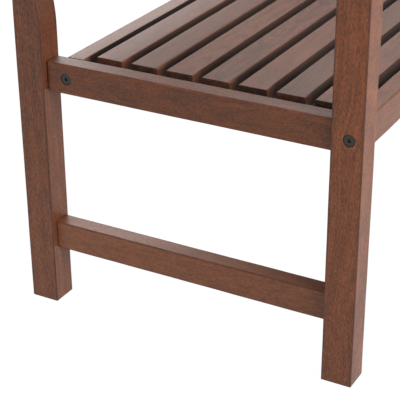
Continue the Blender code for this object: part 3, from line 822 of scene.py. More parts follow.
@dataclass(frozen=True)
class SteelFinish(Finish):
    """Plated or blackened steel, with fine cloudy marks in its colour, gloss and surface.

    Sizes are in metres.

    Args:
        base: its colour.
        worn: its colour where it is handled.
        metallic: 1 for bare plating, less for a black coat.
        roughness: its roughness in the mean.
    """

    base: Colour
    worn: Colour
    metallic: float
    roughness: float

    CLOUD = 0.0016
    GRIT = 0.0003
    GRIT_DEPTH = 0.00005
    COAT_IOR = 1.45

    def surface(self, sheet: NodeSheet) -> dict[str, Value]:
        """The inputs of the steel's shader: base and worn colour mixed by clouds, and a fine grit.

        Args:
            sheet: the material's nodes.

        Returns:
            The inputs by name.
        """
        place = sheet.node("TexCoord", None, None, "Object")
        clouds = sheet.noise(place, (self.CLOUD,) * 3, 3.0)
        grit = sheet.noise(place, (self.GRIT,) * 3, 1.0)
        bump = {"Strength": 0.2, "Distance": self.GRIT_DEPTH, "Height": grit}
        return {
            "Base Color": sheet.blend(clouds.step(0.35, 0.75), self.base, self.worn),
            "Metallic": self.metallic,
            "Roughness": self.roughness + 0.20 * (clouds - 0.5),
            "Normal": sheet.node("Bump", None, bump),
            "IOR": self.COAT_IOR,
        }


@dataclass(frozen=True)
class Tenon:
    """The tongue on a timber's end: half its width and thickness, and its length."""

    across: float
    through: float
    length: float

    CHAMFER = 0.0008

    def sections(self) -> tuple[Array, Array]:
        """Its sections from the shoulder outwards, with how far out they lie."""
        inset = np.array([0.0, 0.0, self.CHAMFER])
        reach = np.array([0.0, self.length - self.CHAMFER, self.length])
        radii = np.full((3, 4), 2.0 * LEAST_RADIUS)
        return rounded_sections(self.across - inset, self.through - inset, radii), reach


@dataclass
class Timber:
    """A planed timber of rectangular section with rounded arrises.

    Args:
        node: the node it stands for.
        run: how it lies.
        centre: the middle of its body, without tenons.
        half: half its size across, through and along.
        board: the wood it was cut from.
        arrises: radii of its four arrises, from plus across, minus through, anticlockwise.
        ends: rounding of its first and last end.
        tenon: the tongue on its first and last end, if it has one.
    """

    node: str
    run: Run
    centre: Array
    half: Array
    board: Board = Board()
    arrises: Sequence[float] = (0.0018, 0.0018, 0.0018, 0.0018)
    ends: tuple[float, float] = (0.0004, 0.0004)
    tenon: Optional[Tenon] = None

    PLANED = 0.00012
    LEAST_WEAR = 0.85
    WEAR = 0.40
    GRAIN_SHIFT = 4.0
    HEART_SPREAD = (0.8, 1.25)
    SLOPE = 0.035
    SLOPE_SPREAD = (0.7, 1.4)

    @property
    def axes(self) -> Array:
        """The directions across, through and along."""
        return self.run.axes

    def stations(self) -> Array:
        """Places of the sections along the timber: close together at its ends, and evenly between."""
        low = -self.half[2] + eased_distances(self.ends[0])
        high = self.half[2] - eased_distances(self.ends[1])[::-1]
        count = max(2, int((high[0] - low[-1]) / STATION_PITCH))
        between = np.linspace(low[-1], high[0], count + 1)[1:-1]
        return np.concatenate([low, between, high])

    def worn_radii(self, stations: Array, drawn_in: Array, rng: np.random.Generator) -> Array:
        """Radii of the arrises along the timber.

        Formula: the arris's radius, times a wear in slow waves, less how far the section is drawn in.

        Args:
            stations: places along the timber.
            drawn_in: how far the section is drawn in at each of them.
            rng: the timber's random numbers.

        Returns:
            Radii of (stations, 4).
        """
        wear = self.LEAST_WEAR + stacked(*(hand_planed(stations, self.WEAR, rng) for _ in self.arrises))
        return np.maximum(np.array(self.arrises) * wear - drawn_in[:, None], LEAST_RADIUS)

    def rings(self) -> Array:
        """The timber's skin: its sections along its stations, and its tenons."""
        rng = seed_of(self.node)
        along = self.stations()
        inset = eased_inset(along + self.half[2], self.ends[0])
        inset += eased_inset(self.half[2] - along, self.ends[1])
        across = self.half[0] - inset - hand_planed(along, self.PLANED, rng)
        through = self.half[1] - inset - hand_planed(along, self.PLANED, rng)
        flat = rounded_sections(across, through, self.worn_radii(along, inset, rng))
        if self.tenon is not None:
            tongue, reach = self.tenon.sections()
            flat = np.concatenate([tongue[::-1], flat, tongue])
            along = np.concatenate([-self.half[2] - reach[::-1], along, self.half[2] + reach])
        return self.centre + flat @ self.axes[:2] + along[:, None, None] * self.axes[2]

    def hole(self, side: float, back: float = OVERRUN) -> Array:
        """The mortise that one end needs in its neighbour, a fit larger all round.

        Args:
            side: minus one for the first end, plus one for the last.
            back: how far it runs back along the timber, which without a tenon enters whole.

        Returns:
            Rings of the cutter.
        """
        tongue = self.tenon or Tenon(self.half[0], self.half[1], 0.0)
        reach = tongue.length + FIT
        half = np.array([tongue.across + FIT, tongue.through + FIT, (reach + back) / 2.0])
        middle = side * (self.half[2] + (reach - back) / 2.0)
        return box_rings(self.centre + middle * self.axes[2], half, self.axes)

    def tongue(self, tenon: Tenon, grown: float = 0.0) -> Array:
        """A plain tenon on its last end alone or, grown by a fit, the mortise for it."""
        half = np.array([tenon.across, tenon.through, tenon.length]) + grown
        return box_rings(self.centre + self.half[2] * self.axes[2], half, self.axes)

    def build(self, finish: WoodFinish, cutters: Iterable[Array] = (), tongues: Iterable[Array] = ()) -> None:
        """Makes the piece, cuts its joints, writes its attributes and dresses it.

        Args:
            finish: its finish.
            cutters: rings of what is cut out of it.
            tongues: rings of a tenon that it has on a single end.
        """
        piece = new_object(f"{self.node}_timber", make_mesh(self.node, self.rings()))
        carve(piece, cutters, tongues)
        self.write_attributes(piece.data)
        dress(piece, finish, self.node)

    def place(self, points: Array) -> tuple[Array, Array]:
        """Places of points in the timber's own directions from its centre, and its half sizes there."""
        local = (points - self.centre) @ self.axes.T
        return local, np.broadcast_to(self.half, local.shape)

    def write_attributes(self, mesh: bpy.types.Mesh) -> None:
        """Writes what the wood's shader reads at each point of a mesh.

        Place, half sizes, grain and heart are in millimetres, and the heart's third part is its slope. Grain
        and heart are shifted, flipped and spread at random by the piece's name, and the tone fades evenly
        along the timber.

        Args:
            mesh: the finished mesh.
        """
        points = np.empty(len(mesh.vertices) * 3)
        mesh.vertices.foreach_get("co", points)
        points = points.reshape(-1, 3)
        local, half = self.place(points)
        rng = seed_of(f"{self.node}_grain")
        shift = rng.uniform(-self.GRAIN_SHIFT, self.GRAIN_SHIFT, 3)
        flip = rng.choice([-1.0, 1.0], 3)
        heart = np.array(self.board.cut.value) * flip[:2] * rng.uniform(*self.HEART_SPREAD, 2)
        slope = self.SLOPE * flip[2] * rng.uniform(*self.SLOPE_SPREAD)
        wood = self.board
        tone = wood.tone + wood.fade * local[:, 2] / half[:, 2]
        values = {
            "place": local * MM,
            "half": half * MM,
            "grain": ((points - self.centre) @ self.axes.T + shift) * MM,
            "heart": np.broadcast_to((*heart, slope), local.shape),
            "board": stacked(tone, wood.warmth, wood.figure),
            "marks": np.broadcast_to((wood.worn, wood.sides, wood.ends), local.shape),
        }
        for name, rows in values.items():
            layer = mesh.attributes.new(name, "FLOAT_VECTOR", "POINT")
            layer.data.foreach_set("vector", np.ascontiguousarray(rows, dtype=np.float32).ravel())


@dataclass
class RearLeg(Timber):
    """A rear leg: upright to above the seat, then bent back by the rake and a little slimmer to its top.

    Its sections are level slices, so its front and rear edges are heights and depths along a curve.
    """

    ends: tuple[float, float] = (0.0018, 0.0018)
    foot_depth: float = 0.050
    top_depth: float = 0.040
    bend_start: float = 0.480
    front_bend: float = 0.240
    rear_bend: float = 0.200
    crown: float = 0.010

    BEND_STEPS = 12
    CROWN_STEPS = 6
    HEIGHT_DIGITS = 5

    def __post_init__(self) -> None:
        """Works out the leg's two edges from its box.

        The rear bend starts a tangent's length, its radius times tan(rake / 2), below the corner where the
        foot's rear face and the raked rear face would meet.
        """
        front_y = self.centre[1] - self.half[1]
        rear_y = front_y + self.foot_depth
        self.top_z = self.centre[2] + self.half[2]
        bent = self.front_bend * np.array([1.0 - LEAN_COSINE, LEAN_SINE])
        front_face = np.array([front_y, self.bend_start]) + bent
        rear_face = front_face + self.top_depth * np.array([LEAN_COSINE, -LEAN_SINE])
        corner_z = rear_face[1] + (rear_y - rear_face[0]) * LEAN_COSINE / LEAN_SINE
        rear_start = corner_z - self.rear_bend * math.tan(RAKE / 2.0)
        self.front_edge = self.edge(front_y, self.bend_start, self.front_bend, front_face, 1.0)
        self.rear_edge = self.edge(rear_y, rear_start, self.rear_bend, rear_face, -1.0)

    def edge(self, y: float, bend_z: float, radius: float, raked: Array, inward: float) -> Array:
        """One edge of the leg from the side, from the floor to its top.

        Formula: upright to the bend, an arc of the bend's radius through the rake, straight up the rake,
        and an arc over the crown that touches the edge and the top at the crown's length from their corner.

        Args:
            y: depth of the upright part.
            bend_z: height where the bend starts.
            radius: radius of the bend.
            raked: a point of the raked edge, as depth and height.
            inward: plus one where the leg's wood lies behind the edge, minus one where it lies before it.

        Returns:
            Points of depth and height.
        """
        turn = np.linspace(0.0, RAKE, self.BEND_STEPS + 1)
        bend = stacked(y + radius * (1.0 - np.cos(turn)), bend_z + radius * np.sin(turn))
        up = np.array([LEAN_SINE, LEAN_COSINE])
        corner = raked + up * (self.top_z - raked[1]) / LEAN_COSINE
        level = np.array([inward, 0.0])
        half_angle = math.acos(float(np.dot(-up, level))) / 2.0
        radius_here = self.crown * math.tan(half_angle)
        bisector = (level - up) / np.linalg.norm(level - up)
        centre = corner + bisector * self.crown / math.cos(half_angle)
        start = corner - up * self.crown - centre
        finish = corner + level * self.crown - centre
        share = np.linspace(0.0, 1.0, self.CROWN_STEPS + 1)[:, None]
        arc = (1.0 - share) * start + share * finish
        arc *= radius_here / np.linalg.norm(arc, axis=1)[:, None]
        return np.concatenate([[(y, 0.0)], bend, centre + arc])

    def depth_at(self, height: Array) -> tuple[Array, Array]:
        """Depths of the front and rear edges.

        Args:
            height: heights at which they are wanted.

        Returns:
            Depths of the front edge, and of the rear edge.
        """
        front = np.interp(height, self.front_edge[:, 1], self.front_edge[:, 0])
        rear = np.interp(height, self.rear_edge[:, 1], self.rear_edge[:, 0])
        return front, rear

    def rings(self) -> Array:
        """The leg's skin: level slices from its foot to its top, eased round both ends."""
        foot = eased_distances(self.ends[0])
        top = self.top_z - eased_distances(self.ends[1])
        even = np.arange(STATION_PITCH, self.top_z - self.crown, STATION_PITCH)
        height = np.concatenate([foot, top, even, self.front_edge[1:-1, 1], self.rear_edge[1:-1, 1]])
        height = np.unique(np.round(height, self.HEIGHT_DIGITS))
        low = eased_inset(height, self.ends[0])
        high = eased_inset(self.top_z - height, self.ends[1])
        front, rear = self.depth_at(height)
        rng = seed_of(self.node)
        across = self.half[0] - low - high - hand_planed(height, self.PLANED, rng)
        through = (rear - front) / 2.0 - low
        flat = rounded_sections(across, through, self.worn_radii(height, low + high, rng))
        x = self.centre[0] + flat[:, :, 0]
        y = (front + rear)[:, None] / 2.0 + flat[:, :, 1]
        return stacked(x, y, height[:, None])

    def place(self, points: Array) -> tuple[Array, Array]:
        """Places of points in the leg, measured from the middle of its slice.

        Args:
            points: the points.

        Returns:
            Their places across, through and along the leg, and its half sizes there.
        """
        local = points - self.centre
        front, rear = self.depth_at(points[:, 2])
        local[:, 1] = points[:, 1] - (front + rear) / 2.0
        half = np.repeat(self.half[None], len(points), axis=0)
        half[:, 1] = (rear - front) / 2.0
        return local, half


@dataclass
class Armrest(Timber):
    """A flat armrest with rounded front corners, whose rear end is cut to the rake of the leg behind it."""

    corner: float = 0.012
    edge: float = 0.0020

    CORNER_STEPS = 8
    SIDE_STEPS = 7

    def plan(self, inset: Array) -> Array:
        """Outlines of the armrest from above, each drawn in by its inset.

        Formula: from the rear along one side, round a quarter circle to the front, and the same mirrored.

        Args:
            inset: how far each outline is drawn in at its sides and front.

        Returns:
            Points of (outlines, points, 2), as places across X and along Y from the centre.
        """
        side_x = inset[:, None] - self.half[1]
        front_y = inset[:, None] - self.half[2]
        radius = self.corner - inset[:, None]
        turn = quarter_turns(self.CORNER_STEPS)
        share = np.linspace(1.0, 0.0, self.SIDE_STEPS + 1)
        start = self.corner + SUPPORT
        side_y = start - self.half[2] + share * (2.0 * self.half[2] - start)
        side = stacked(side_x, side_y)
        bend = stacked(side_x + radius * (1.0 - np.cos(turn)), front_y + radius * (1.0 - np.sin(turn)))
        left = np.concatenate([side, bend], axis=1)
        return np.concatenate([left, left[:, ::-1] * np.array([-1.0, 1.0])], axis=1)

    def rings(self) -> Array:
        """The armrest's skin: outlines from its underside to its top, eased at both, raked at the rear."""
        low = -self.half[0] + eased_distances(self.edge)
        height = np.concatenate([low, -low[::-1]])
        outline = self.plan(eased_inset(self.half[0] - np.abs(height), self.edge))
        rear = np.isclose(outline[:, :, 1], self.half[2])
        height = height[:, None]
        y = outline[:, :, 1] + np.where(rear, height * LEAN_SINE / LEAN_COSINE, 0.0)
        return self.centre + stacked(outline[:, :, 0], y, height)


@dataclass(frozen=True)
class Hardware:
    """Sizes of the bolts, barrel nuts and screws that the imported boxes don't give."""

    bolt_radius: float = 0.004
    head_height: float = 0.003
    head_chamfer: float = 0.0006
    head_sunk: float = 0.0008
    head_dome: float = 0.00025
    socket_radius: float = 0.0033
    socket_depth: float = 0.0040
    thread_end: float = 0.0006
    nut_radius: float = 0.006
    nut_chamfer: float = 0.0005
    slot_depth: float = 0.0012
    slot_width: float = 0.0014
    screw_radius: float = 0.002
    screw_head: float = 0.0038
    screw_head_height: float = 0.0022
    screw_tip: float = 0.004
    cross_radius: float = 0.0023
    cross_depth: float = 0.0014


HARDWARE = Hardware()


@dataclass
class Fixing:
    """A turned steel fixing, which takes its place and size from its node's box."""

    node: str

    def __post_init__(self) -> None:
        """Reads its box."""
        self.centre, self.half = box_of(self.node)

    def rings(self) -> Array:
        """Its skin."""
        raise NotImplementedError

    def cutters(self) -> Sequence[Array]:
        """What is cut out of it."""
        return ()

    def build(self, finish: SteelFinish) -> None:
        """Makes the fixing, cuts it and dresses it."""
        piece = new_object(f"{self.node}_steel", make_mesh(self.node, self.rings()))
        carve(piece, self.cutters())
        dress(piece, finish, self.node)


@dataclass
class Bolt(Fixing):
    """A socket-headed bolt that runs inwards along X from the outer face of its head."""

    end: End

    def __post_init__(self) -> None:
        """Finds the head's outer face and radius, and the bolt's length."""
        super().__post_init__()
        self.axis = np.array([-self.end.side, 0.0, 0.0])
        self.head = self.centre - self.axis * self.half[0]
        self.head_radius = self.half[2]
        self.length = 2.0 * self.half[0]

    def rings(self) -> Array:
        """The bolt's skin, from the floor of its socket over its domed head and down the shank."""
        size = HARDWARE
        rim = self.head_radius - size.head_chamfer
        shoulder = size.head_dome + size.head_chamfer
        profile = [
            # The socket: its drilled floor, its walls and the broken edge of its mouth
            (size.socket_depth + 0.0007, 0.0004, 0.0),
            (size.socket_depth, size.socket_radius * 0.86, 1.0),
            (size.socket_depth - 0.0002, size.socket_radius, 1.0),
            (0.0004, size.socket_radius, 1.0),
            (0.0002, size.socket_radius + 0.0001, 0.9),
            (0.0, size.socket_radius + 0.0006, 0.0),
            # The dome, its rim and the chamfer
            (size.head_dome * 0.1, size.socket_radius + 0.0016, 0.0),
            (size.head_dome * 0.5, rim * 0.8, 0.0),
            (size.head_dome, rim - 0.0002, 0.0),
            (size.head_dome + 0.00008, rim, 0.0),
            (shoulder, self.head_radius - 0.00015, 0.0),
            (shoulder + 0.0002, self.head_radius, 0.0),
            # The edge under the head, and the shank
            (size.head_height - 0.0001, self.head_radius, 0.0),
            (size.head_height, self.head_radius - 0.0001, 0.0),
            (size.head_height, size.bolt_radius, 0.0),
            (self.length - size.thread_end, size.bolt_radius, 0.0),
            (self.length, size.bolt_radius - size.thread_end, 0.0),
        ]
        return turned_rings(profile, self.head, self.axis, STEEL_SIDES)

    def bore(self, depth: float) -> Array:
        """The counterbore and bolt hole that it needs in the timber under its head.

        Args:
            depth: the timber's size along the bolt.

        Returns:
            Rings of the cutter.
        """
        start = self.head - self.axis * (HARDWARE.head_sunk + OVERRUN)
        seat = OVERRUN + HARDWARE.head_sunk + HARDWARE.head_height + FIT
        return bore_rings(
            start, self.axis, (self.head_radius, seat), (HARDWARE.bolt_radius, OVERRUN + depth + OVERRUN))

    def rail_hole(self, rail_end: float) -> Array:
        """The hole for its shank in the rail.

        Args:
            rail_end: X of the rail's end, just outside which the hole starts.

        Returns:
            Rings of the cutter.
        """
        start = self.head.copy()
        start[0] = rail_end + self.end.side * OVERRUN
        reach = abs(self.head[0] + self.axis[0] * self.length - start[0]) + FIT
        return bore_rings(start, self.axis, (HARDWARE.bolt_radius, reach))


@dataclass
class BarrelNut(Fixing):
    """A cross dowel that a bolt screws into, with a screwdriver's slot in the end that shows.

    Args:
        node: the node it stands for.
        way: unit direction of its axis, towards the open end of its hole.
        length: its length.
    """

    way: Array
    length: float

    def hole(self, to_face: float) -> Array:
        """Its blind hole in the rail, out through the face that lies to_face from the nut's middle."""
        start = self.centre - self.way * (self.length / 2.0 + FIT)
        return bore_rings(start, self.way, (HARDWARE.nut_radius, self.length / 2.0 + FIT + to_face + OVERRUN))

    def rings(self) -> Array:
        """The barrel's skin, chamfered at both ends."""
        radius, chamfer = HARDWARE.nut_radius, HARDWARE.nut_chamfer
        profile = [
            (0.0, radius - chamfer, 0.0),
            (chamfer, radius, 0.0),
            (self.length - chamfer, radius, 0.0),
            (self.length, radius - chamfer, 0.0),
        ]
        return turned_rings(profile, self.centre - self.way * self.length / 2.0, self.way, STEEL_SIDES)

    def cutters(self) -> Sequence[Array]:
        """The bolt's hole across it, and its slot."""
        sideways = np.array([1.0, 0.0, 0.0])
        reach = 2.0 * HARDWARE.nut_radius + OVERRUN
        across = bore_rings(self.centre - sideways * reach, sideways, (HARDWARE.bolt_radius, 2.0 * reach))
        axes = np.array([sideways, np.cross(self.way, sideways), self.way])
        half = np.array([reach, HARDWARE.slot_width / 2.0, HARDWARE.slot_depth])
        return across, box_rings(self.centre + self.way * self.length / 2.0, half, axes)


@dataclass
class SlatScrew(Fixing):
    """A countersunk screw that runs up through the middle batten into a slat."""

    def __post_init__(self) -> None:
        """Finds the head's underside and the screw's length."""
        super().__post_init__()
        self.head = self.centre - UP * self.half[2]
        self.length = 2.0 * self.half[2]

    def hole(self, batten_bottom: float) -> Array:
        """The counterbore up to its head and the clearance hole for its shank.

        Args:
            batten_bottom: height of the batten's underside.

        Returns:
            Rings of the cutter.
        """
        start = np.array([self.head[0], self.head[1], batten_bottom - OVERRUN])
        sunk = self.head[2] - start[2]
        return bore_rings(start, UP, (HARDWARE.screw_head, sunk + HARDWARE.screw_head_height + FIT),
                          (HARDWARE.screw_radius, sunk + self.length + FIT))

    def pilot(self) -> Array:
        """Its blind hole in the slat."""
        start = self.head + UP * HARDWARE.screw_head_height
        return bore_rings(start, UP, (HARDWARE.screw_radius, self.length - HARDWARE.screw_head_height + FIT))

    def rings(self) -> Array:
        """The screw's skin, from the floor of its recess over its head and down the shank."""
        size = HARDWARE
        profile = [
            # The recess, narrower towards its floor
            (size.cross_depth, 0.0003, 0.0),
            (size.cross_depth * 0.8, size.cross_radius * 0.55, 1.0),
            (0.0002, size.cross_radius, 1.0),
            (0.0, size.cross_radius + 0.0001, 0.9),
            # The flat head with its edge, the shank and the point
            (0.0, size.screw_head - 0.0003, 0.0),
            (0.0002, size.screw_head - 0.00005, 0.0),
            (0.0005, size.screw_head, 0.0),
            (size.screw_head_height, size.screw_radius, 0.0),
            (self.length - size.screw_tip, size.screw_radius, 0.0),
            (self.length, 0.0005, 0.0),
        ]
        return turned_rings(profile, self.head, UP, STEEL_SIDES, Recess.CROSS)


@dataclass(frozen=True)
class Finishes:
    """The finishes of the bench."""

    frame: WoodFinish = WoodFinish("stained_frame_wood", "frame_wood")
    slats: WoodFinish = WoodFinish(
        "stained_slat_wood", "slat_wood",
        ring_share=0.16, line_share=0.36, blotch_share=0.16, fleck_share=0.62, fleck_length=8.0)
    black: SteelFinish = SteelFinish(
        "black_steel", "black_bolt", (0.017, 0.013, 0.012, 1.0), (0.030, 0.024, 0.022, 1.0), 0.0, 0.38)
    zinc: SteelFinish = SteelFinish(
        "zinc_plate", "zinc_fixing", (0.52, 0.52, 0.50, 1.0), (0.62, 0.62, 0.61, 1.0), 1.0, 0.34)


FINISHES = Finishes()


@dataclass(frozen=True)
class Joinery:
    """Tenons that the timbers share."""

    side: Tenon = Tenon(0.017, 0.005, 0.018)
    stretcher: Tenon = Tenon(0.016, 0.005, 0.018)
    seat_stub: Tenon = Tenon(0.007, 0.017, 0.008)
    top_stub: Tenon = Tenon(0.007, 0.027, 0.008)
    bottom_stub: Tenon = Tenon(0.007, 0.0145, 0.008)
    batten: Tenon = Tenon(0.007, 0.0155, 0.012)
    post: Tenon = Tenon(0.011, 0.013, 0.014)
    arm: Tenon = Tenon(0.005, 0.013, 0.014)


JOINERY = Joinery()


def timber_from_box(node: str, run: Run, tenon: Optional[Tenon] = None, **settings: object) -> Timber:
    """Lays out a timber square to the frame, with its place and size from its node's box.

    Args:
        node: the node it stands for.
        run: how it lies.
        tenon: the tongue on both its ends, which the box takes in.
        settings: other fields of the timber.

    Returns:
        The timber.
    """
    centre, half = box_of(node)
    half = np.abs(run.axes @ half)
    if tenon is not None:
        half[2] -= tenon.length
    return Timber(node, run, centre, half, tenon=tenon, **settings)


@dataclass
class BoltedRail:
    """A rail with the bolt and the barrel nut that hold each of its ends.

    Args:
        timber: the rail.
        fixings: how the nodes of its fixings begin.
        nut_way: unit direction in which its nuts' holes open.
        nut_length: length of its nuts.
    """

    timber: Timber
    fixings: str
    nut_way: Array
    nut_length: float

    def __post_init__(self) -> None:
        """Lays out the fixings of both ends."""
        self.bolts = {end: Bolt(f"{self.fixings}_bolt_{end.word}", end) for end in End}
        self.nuts = {
            end: BarrelNut(f"{self.fixings}_nut_{end.word}", self.nut_way, self.nut_length) for end in End}

    def end_cutters(self, end: End, depth: float) -> list[Array]:
        """The mortise and bolt hole that one end needs in a timber of a given depth."""
        return [self.timber.hole(end.side), self.bolts[end].bore(depth)]

    def build(self, cutters: Iterable[Array]) -> None:
        """Makes the rail, drilled for its fixings.

        Args:
            cutters: rings of what else is cut out of the rail.
        """
        rail = self.timber
        tip = rail.half[2] + rail.tenon.length
        to_face = abs(rail.axes @ self.nut_way) @ rail.half
        holes = list(cutters)
        for end in End:
            rail_end = rail.centre[0] + end.side * tip
            holes += [self.bolts[end].rail_hole(rail_end), self.nuts[end].hole(to_face)]
        rail.build(FINISHES.frame, holes)


def build_fixings(*rails: BoltedRail) -> None:
    """Makes the bolts of all the rails given, and then their nuts."""
    for rail in rails:
        for bolt in rail.bolts.values():
            bolt.build(FINISHES.black)
    for rail in rails:
        for nut in rail.nuts.values():
            nut.build(FINISHES.zinc)


@dataclass
class SeatFrame:
    """The front and rear rails, and the three battens between them."""

    # A worn below zero paints a dark line along outward arrises, in place of their darker reflection
    front_board: Board = Board(Cut.FLAT, 0.05, -0.24, 0.9, worn=-0.5)
    # The rear rail's forward side, in the gap behind the last slat, gets painted shade
    rear_board: Board = Board(Cut.RIFT, 0.12, -0.10, 0.5, sides=2.0)
    batten_board: Board = Board(Cut.QUARTER, -0.05, 0.0)
    nut_length: float = 0.020
    arrises: tuple[float, ...] = (0.0018, 0.0012, 0.0024, 0.0024)

    def __post_init__(self) -> None:
        """Lays out the timbers and screws."""
        self.front = self.make_rail("front_rail", self.front_board)
        self.rear = self.make_rail("rear_rail", self.rear_board)
        self.battens = [
            timber_from_box(f"seat_batten_{word}", Run.REARWARD, JOINERY.batten, board=self.batten_board)
            for word in ("left", "centre", "right")
        ]
        self.screws = [SlatScrew(name) for name in sorted(frame["nodes"]) if name.startswith("slat_screw")]

    def make_rail(self, node: str, board: Board) -> BoltedRail:
        """A rail of the seat, whose nuts go in from below."""
        timber = timber_from_box(node, Run.SIDEWAYS, JOINERY.seat_stub, board=board, arrises=self.arrises)
        return BoltedRail(timber, node, -UP, self.nut_length)

    def build(self) -> None:
        """Makes the rails, battens and their fixings."""
        for rail, side in ((self.front, -1.0), (self.rear, 1.0)):
            rail.build(batten.hole(side) for batten in self.battens)
        for batten in self.battens:
            bottom = batten.centre[2] - batten.half[0]
            batten.build(FINISHES.frame, [
                screw.hole(bottom) for screw in self.screws
                if abs(screw.head[0] - batten.centre[0]) < batten.half[1]
            ])
        build_fixings(self.front, self.rear)
        for screw in self.screws:
            screw.build(FINISHES.zinc)


@dataclass
class EndFrame:
    """A glued end of the bench: two legs, the seat's side rail, the stretcher and the armrest."""

    end: End
    seat_frame: SeatFrame
    # A worn below zero paints a dark line along outward arrises, in place of their darker reflection
    front_board: Board = Board(Cut.RIFT, 0.00, 0.26, 1.2, 0.04, worn=-1.1)
    # The fades make the front leg lighter towards its top, the rear leg towards its foot and the stretcher
    # towards its rear
    rear_board: Board = Board(Cut.RIFT, 0.00, 0.02, 1.3, -0.07, worn=-1.3)
    rail_board: Board = Board(Cut.FLAT, -0.11, 0.22, 1.0)
    stretcher_board: Board = Board(Cut.FLAT, 0.14, -0.06, 0.8, 0.13, worn=-0.8)
    arm_board: Board = Board(Cut.FLAT, 0.04, 0.0)
    leg_arrises: tuple[float, ...] = (0.0030, 0.0018, 0.0018, 0.0018)
    leg_ends: tuple[float, float] = (0.0018, 0.0018)
    rail_ends: tuple[float, float] = (0.0040, 0.0040)
    arm_thickness: float = 0.022

    def __post_init__(self) -> None:
        """Lays out the end's timbers."""
        word = self.end.word
        self.rail = timber_from_box(
            f"side_rail_{word}", Run.REARWARD, JOINERY.side, board=self.rail_board, ends=self.rail_ends)
        self.stretcher = timber_from_box(
            f"stretcher_{word}", Run.REARWARD, JOINERY.stretcher, board=self.stretcher_board)
        self.front_leg = self.make_front_leg(f"front_leg_{word}")
        rear = f"rear_leg_{word}"
        self.rear_leg = RearLeg(rear, Run.UPRIGHT, *box_of(rear), self.rear_board)
        self.arm = self.make_armrest(f"armrest_{word}")

    def make_front_leg(self, node: str) -> Timber:
        """Lays out the front leg, whose box takes in the tenon on its top.

        Args:
            node: its node.

        Returns:
            The leg.
        """
        centre, half = box_of(node)
        centre[2] -= JOINERY.post.length / 2.0
        half[2] -= JOINERY.post.length / 2.0
        return Timber(node, Run.UPRIGHT, centre, half, self.front_board, self.leg_arrises, self.leg_ends)

    def make_armrest(self, node: str) -> Armrest:
        """Lays out the armrest, from its front end to the raked face of the rear leg at its middle height.

        Args:
            node: its node.

        Returns:
            The armrest.
        """
        centre, half = box_of(node)
        front = centre[1] - half[1]
        face, _ = self.rear_leg.depth_at(centre[2:])
        rear = float(face[0]) - FIT / LEAN_COSINE
        centre[1] = (front + rear) / 2.0
        half = np.array([self.arm_thickness / 2.0, half[0], (rear - front) / 2.0])
        return Armrest(node, Run.REARWARD, centre, half, self.arm_board)

    def build(self, back: "Back") -> None:
        """Makes the end's five timbers, with every joint cut.

        Args:
            back: the back, whose rails and bolts enter the rear leg.
        """
        wood, post, arm = FINISHES.frame, JOINERY.post, JOINERY.arm
        self.rail.build(wood, self.seat_frame.rear.end_cutters(self.end, 2.0 * self.rail.half[1]))
        self.stretcher.build(wood)
        front_cutters = [self.rail.hole(-1.0), self.stretcher.hole(-1.0)]
        front_cutters += self.seat_frame.front.end_cutters(self.end, 2.0 * self.front_leg.half[0])
        self.front_leg.build(wood, front_cutters, [self.front_leg.tongue(post)])
        self.arm.build(wood, [self.front_leg.tongue(post, FIT)], [self.arm.tongue(arm)])
        rear_cutters = [self.rail.hole(1.0), self.stretcher.hole(1.0), self.arm.tongue(arm, FIT)]
        for rail in (back.top, back.bottom):
            rear_cutters += rail.end_cutters(self.end, 2.0 * self.rear_leg.half[0])
        self.rear_leg.build(wood, rear_cutters)


def slat_board(cut: Cut, tone: float, warmth: float, figure: float, ends: float = 0.0) -> Board:
    """The wood of a seat slat, little worn, with painted shade on its forward side, where the gaps lie in
    shade.
    """
    return Board(cut, tone, warmth, figure, worn=0.3, sides=1.0, ends=ends)


@dataclass
class Seat:
    """The seven slats, from the front to the back."""

    seat_frame: SeatFrame
    boards: Sequence[Board] = (
        slat_board(Cut.FLAT, 0.00, -0.05, 1.2, -0.05),
        slat_board(Cut.RIFT, -0.16, -0.10, 0.8, 0.25),
        slat_board(Cut.RIFT, 0.00, 0.05, 0.7),
        slat_board(Cut.FLAT, -0.07, -0.05, 1.4, 0.12),
        slat_board(Cut.FLAT, 0.04, 0.05, 1.4, 0.10),
        slat_board(Cut.RIFT, -0.03, -0.20, 0.7, 0.05),
        slat_board(Cut.RIFT, 0.04, 0.00, 0.9, 0.30),
    )
    front_tops: Sequence[float] = (0.0018, 0.0018, 0.0016, 0.0034, 0.0018, 0.0036, 0.0026)
    rear_top: float = 0.0016
    under: float = 0.0014
    sawn_ends: tuple[float, float] = (0.0007, 0.0007)
    notch: float = 0.003

    def build(self) -> None:
        """Makes the slats, notched over the battens and drilled for their screws."""
        for number, (board, front_top) in enumerate(zip(self.boards, self.front_tops), start=1):
            arrises = (self.under, self.rear_top, front_top, self.under)
            slat = timber_from_box(
                f"seat_slat_{number}", Run.SIDEWAYS, board=board, arrises=arrises, ends=self.sawn_ends)
            cutters = [self.notch_over(batten, slat) for batten in self.seat_frame.battens]
            cutters += [
                screw.pilot() for screw in self.seat_frame.screws
                if abs(screw.head[1] - slat.centre[1]) < slat.half[0]
            ]
            slat.build(FINISHES.slats, cutters)

    def notch_over(self, batten: Timber, slat: Timber) -> Array:
        """The notch across a slat's underside that sits over a batten.

        Args:
            batten: the batten.
            slat: the slat.

        Returns:
            Rings of the cutter.
        """
        centre = np.array([batten.centre[0], slat.centre[1], slat.centre[2] - slat.half[1]])
        half = np.array([slat.half[0] + OVERRUN, self.notch, batten.half[1] + FIT])
        return box_rings(centre, half, slat.axes)


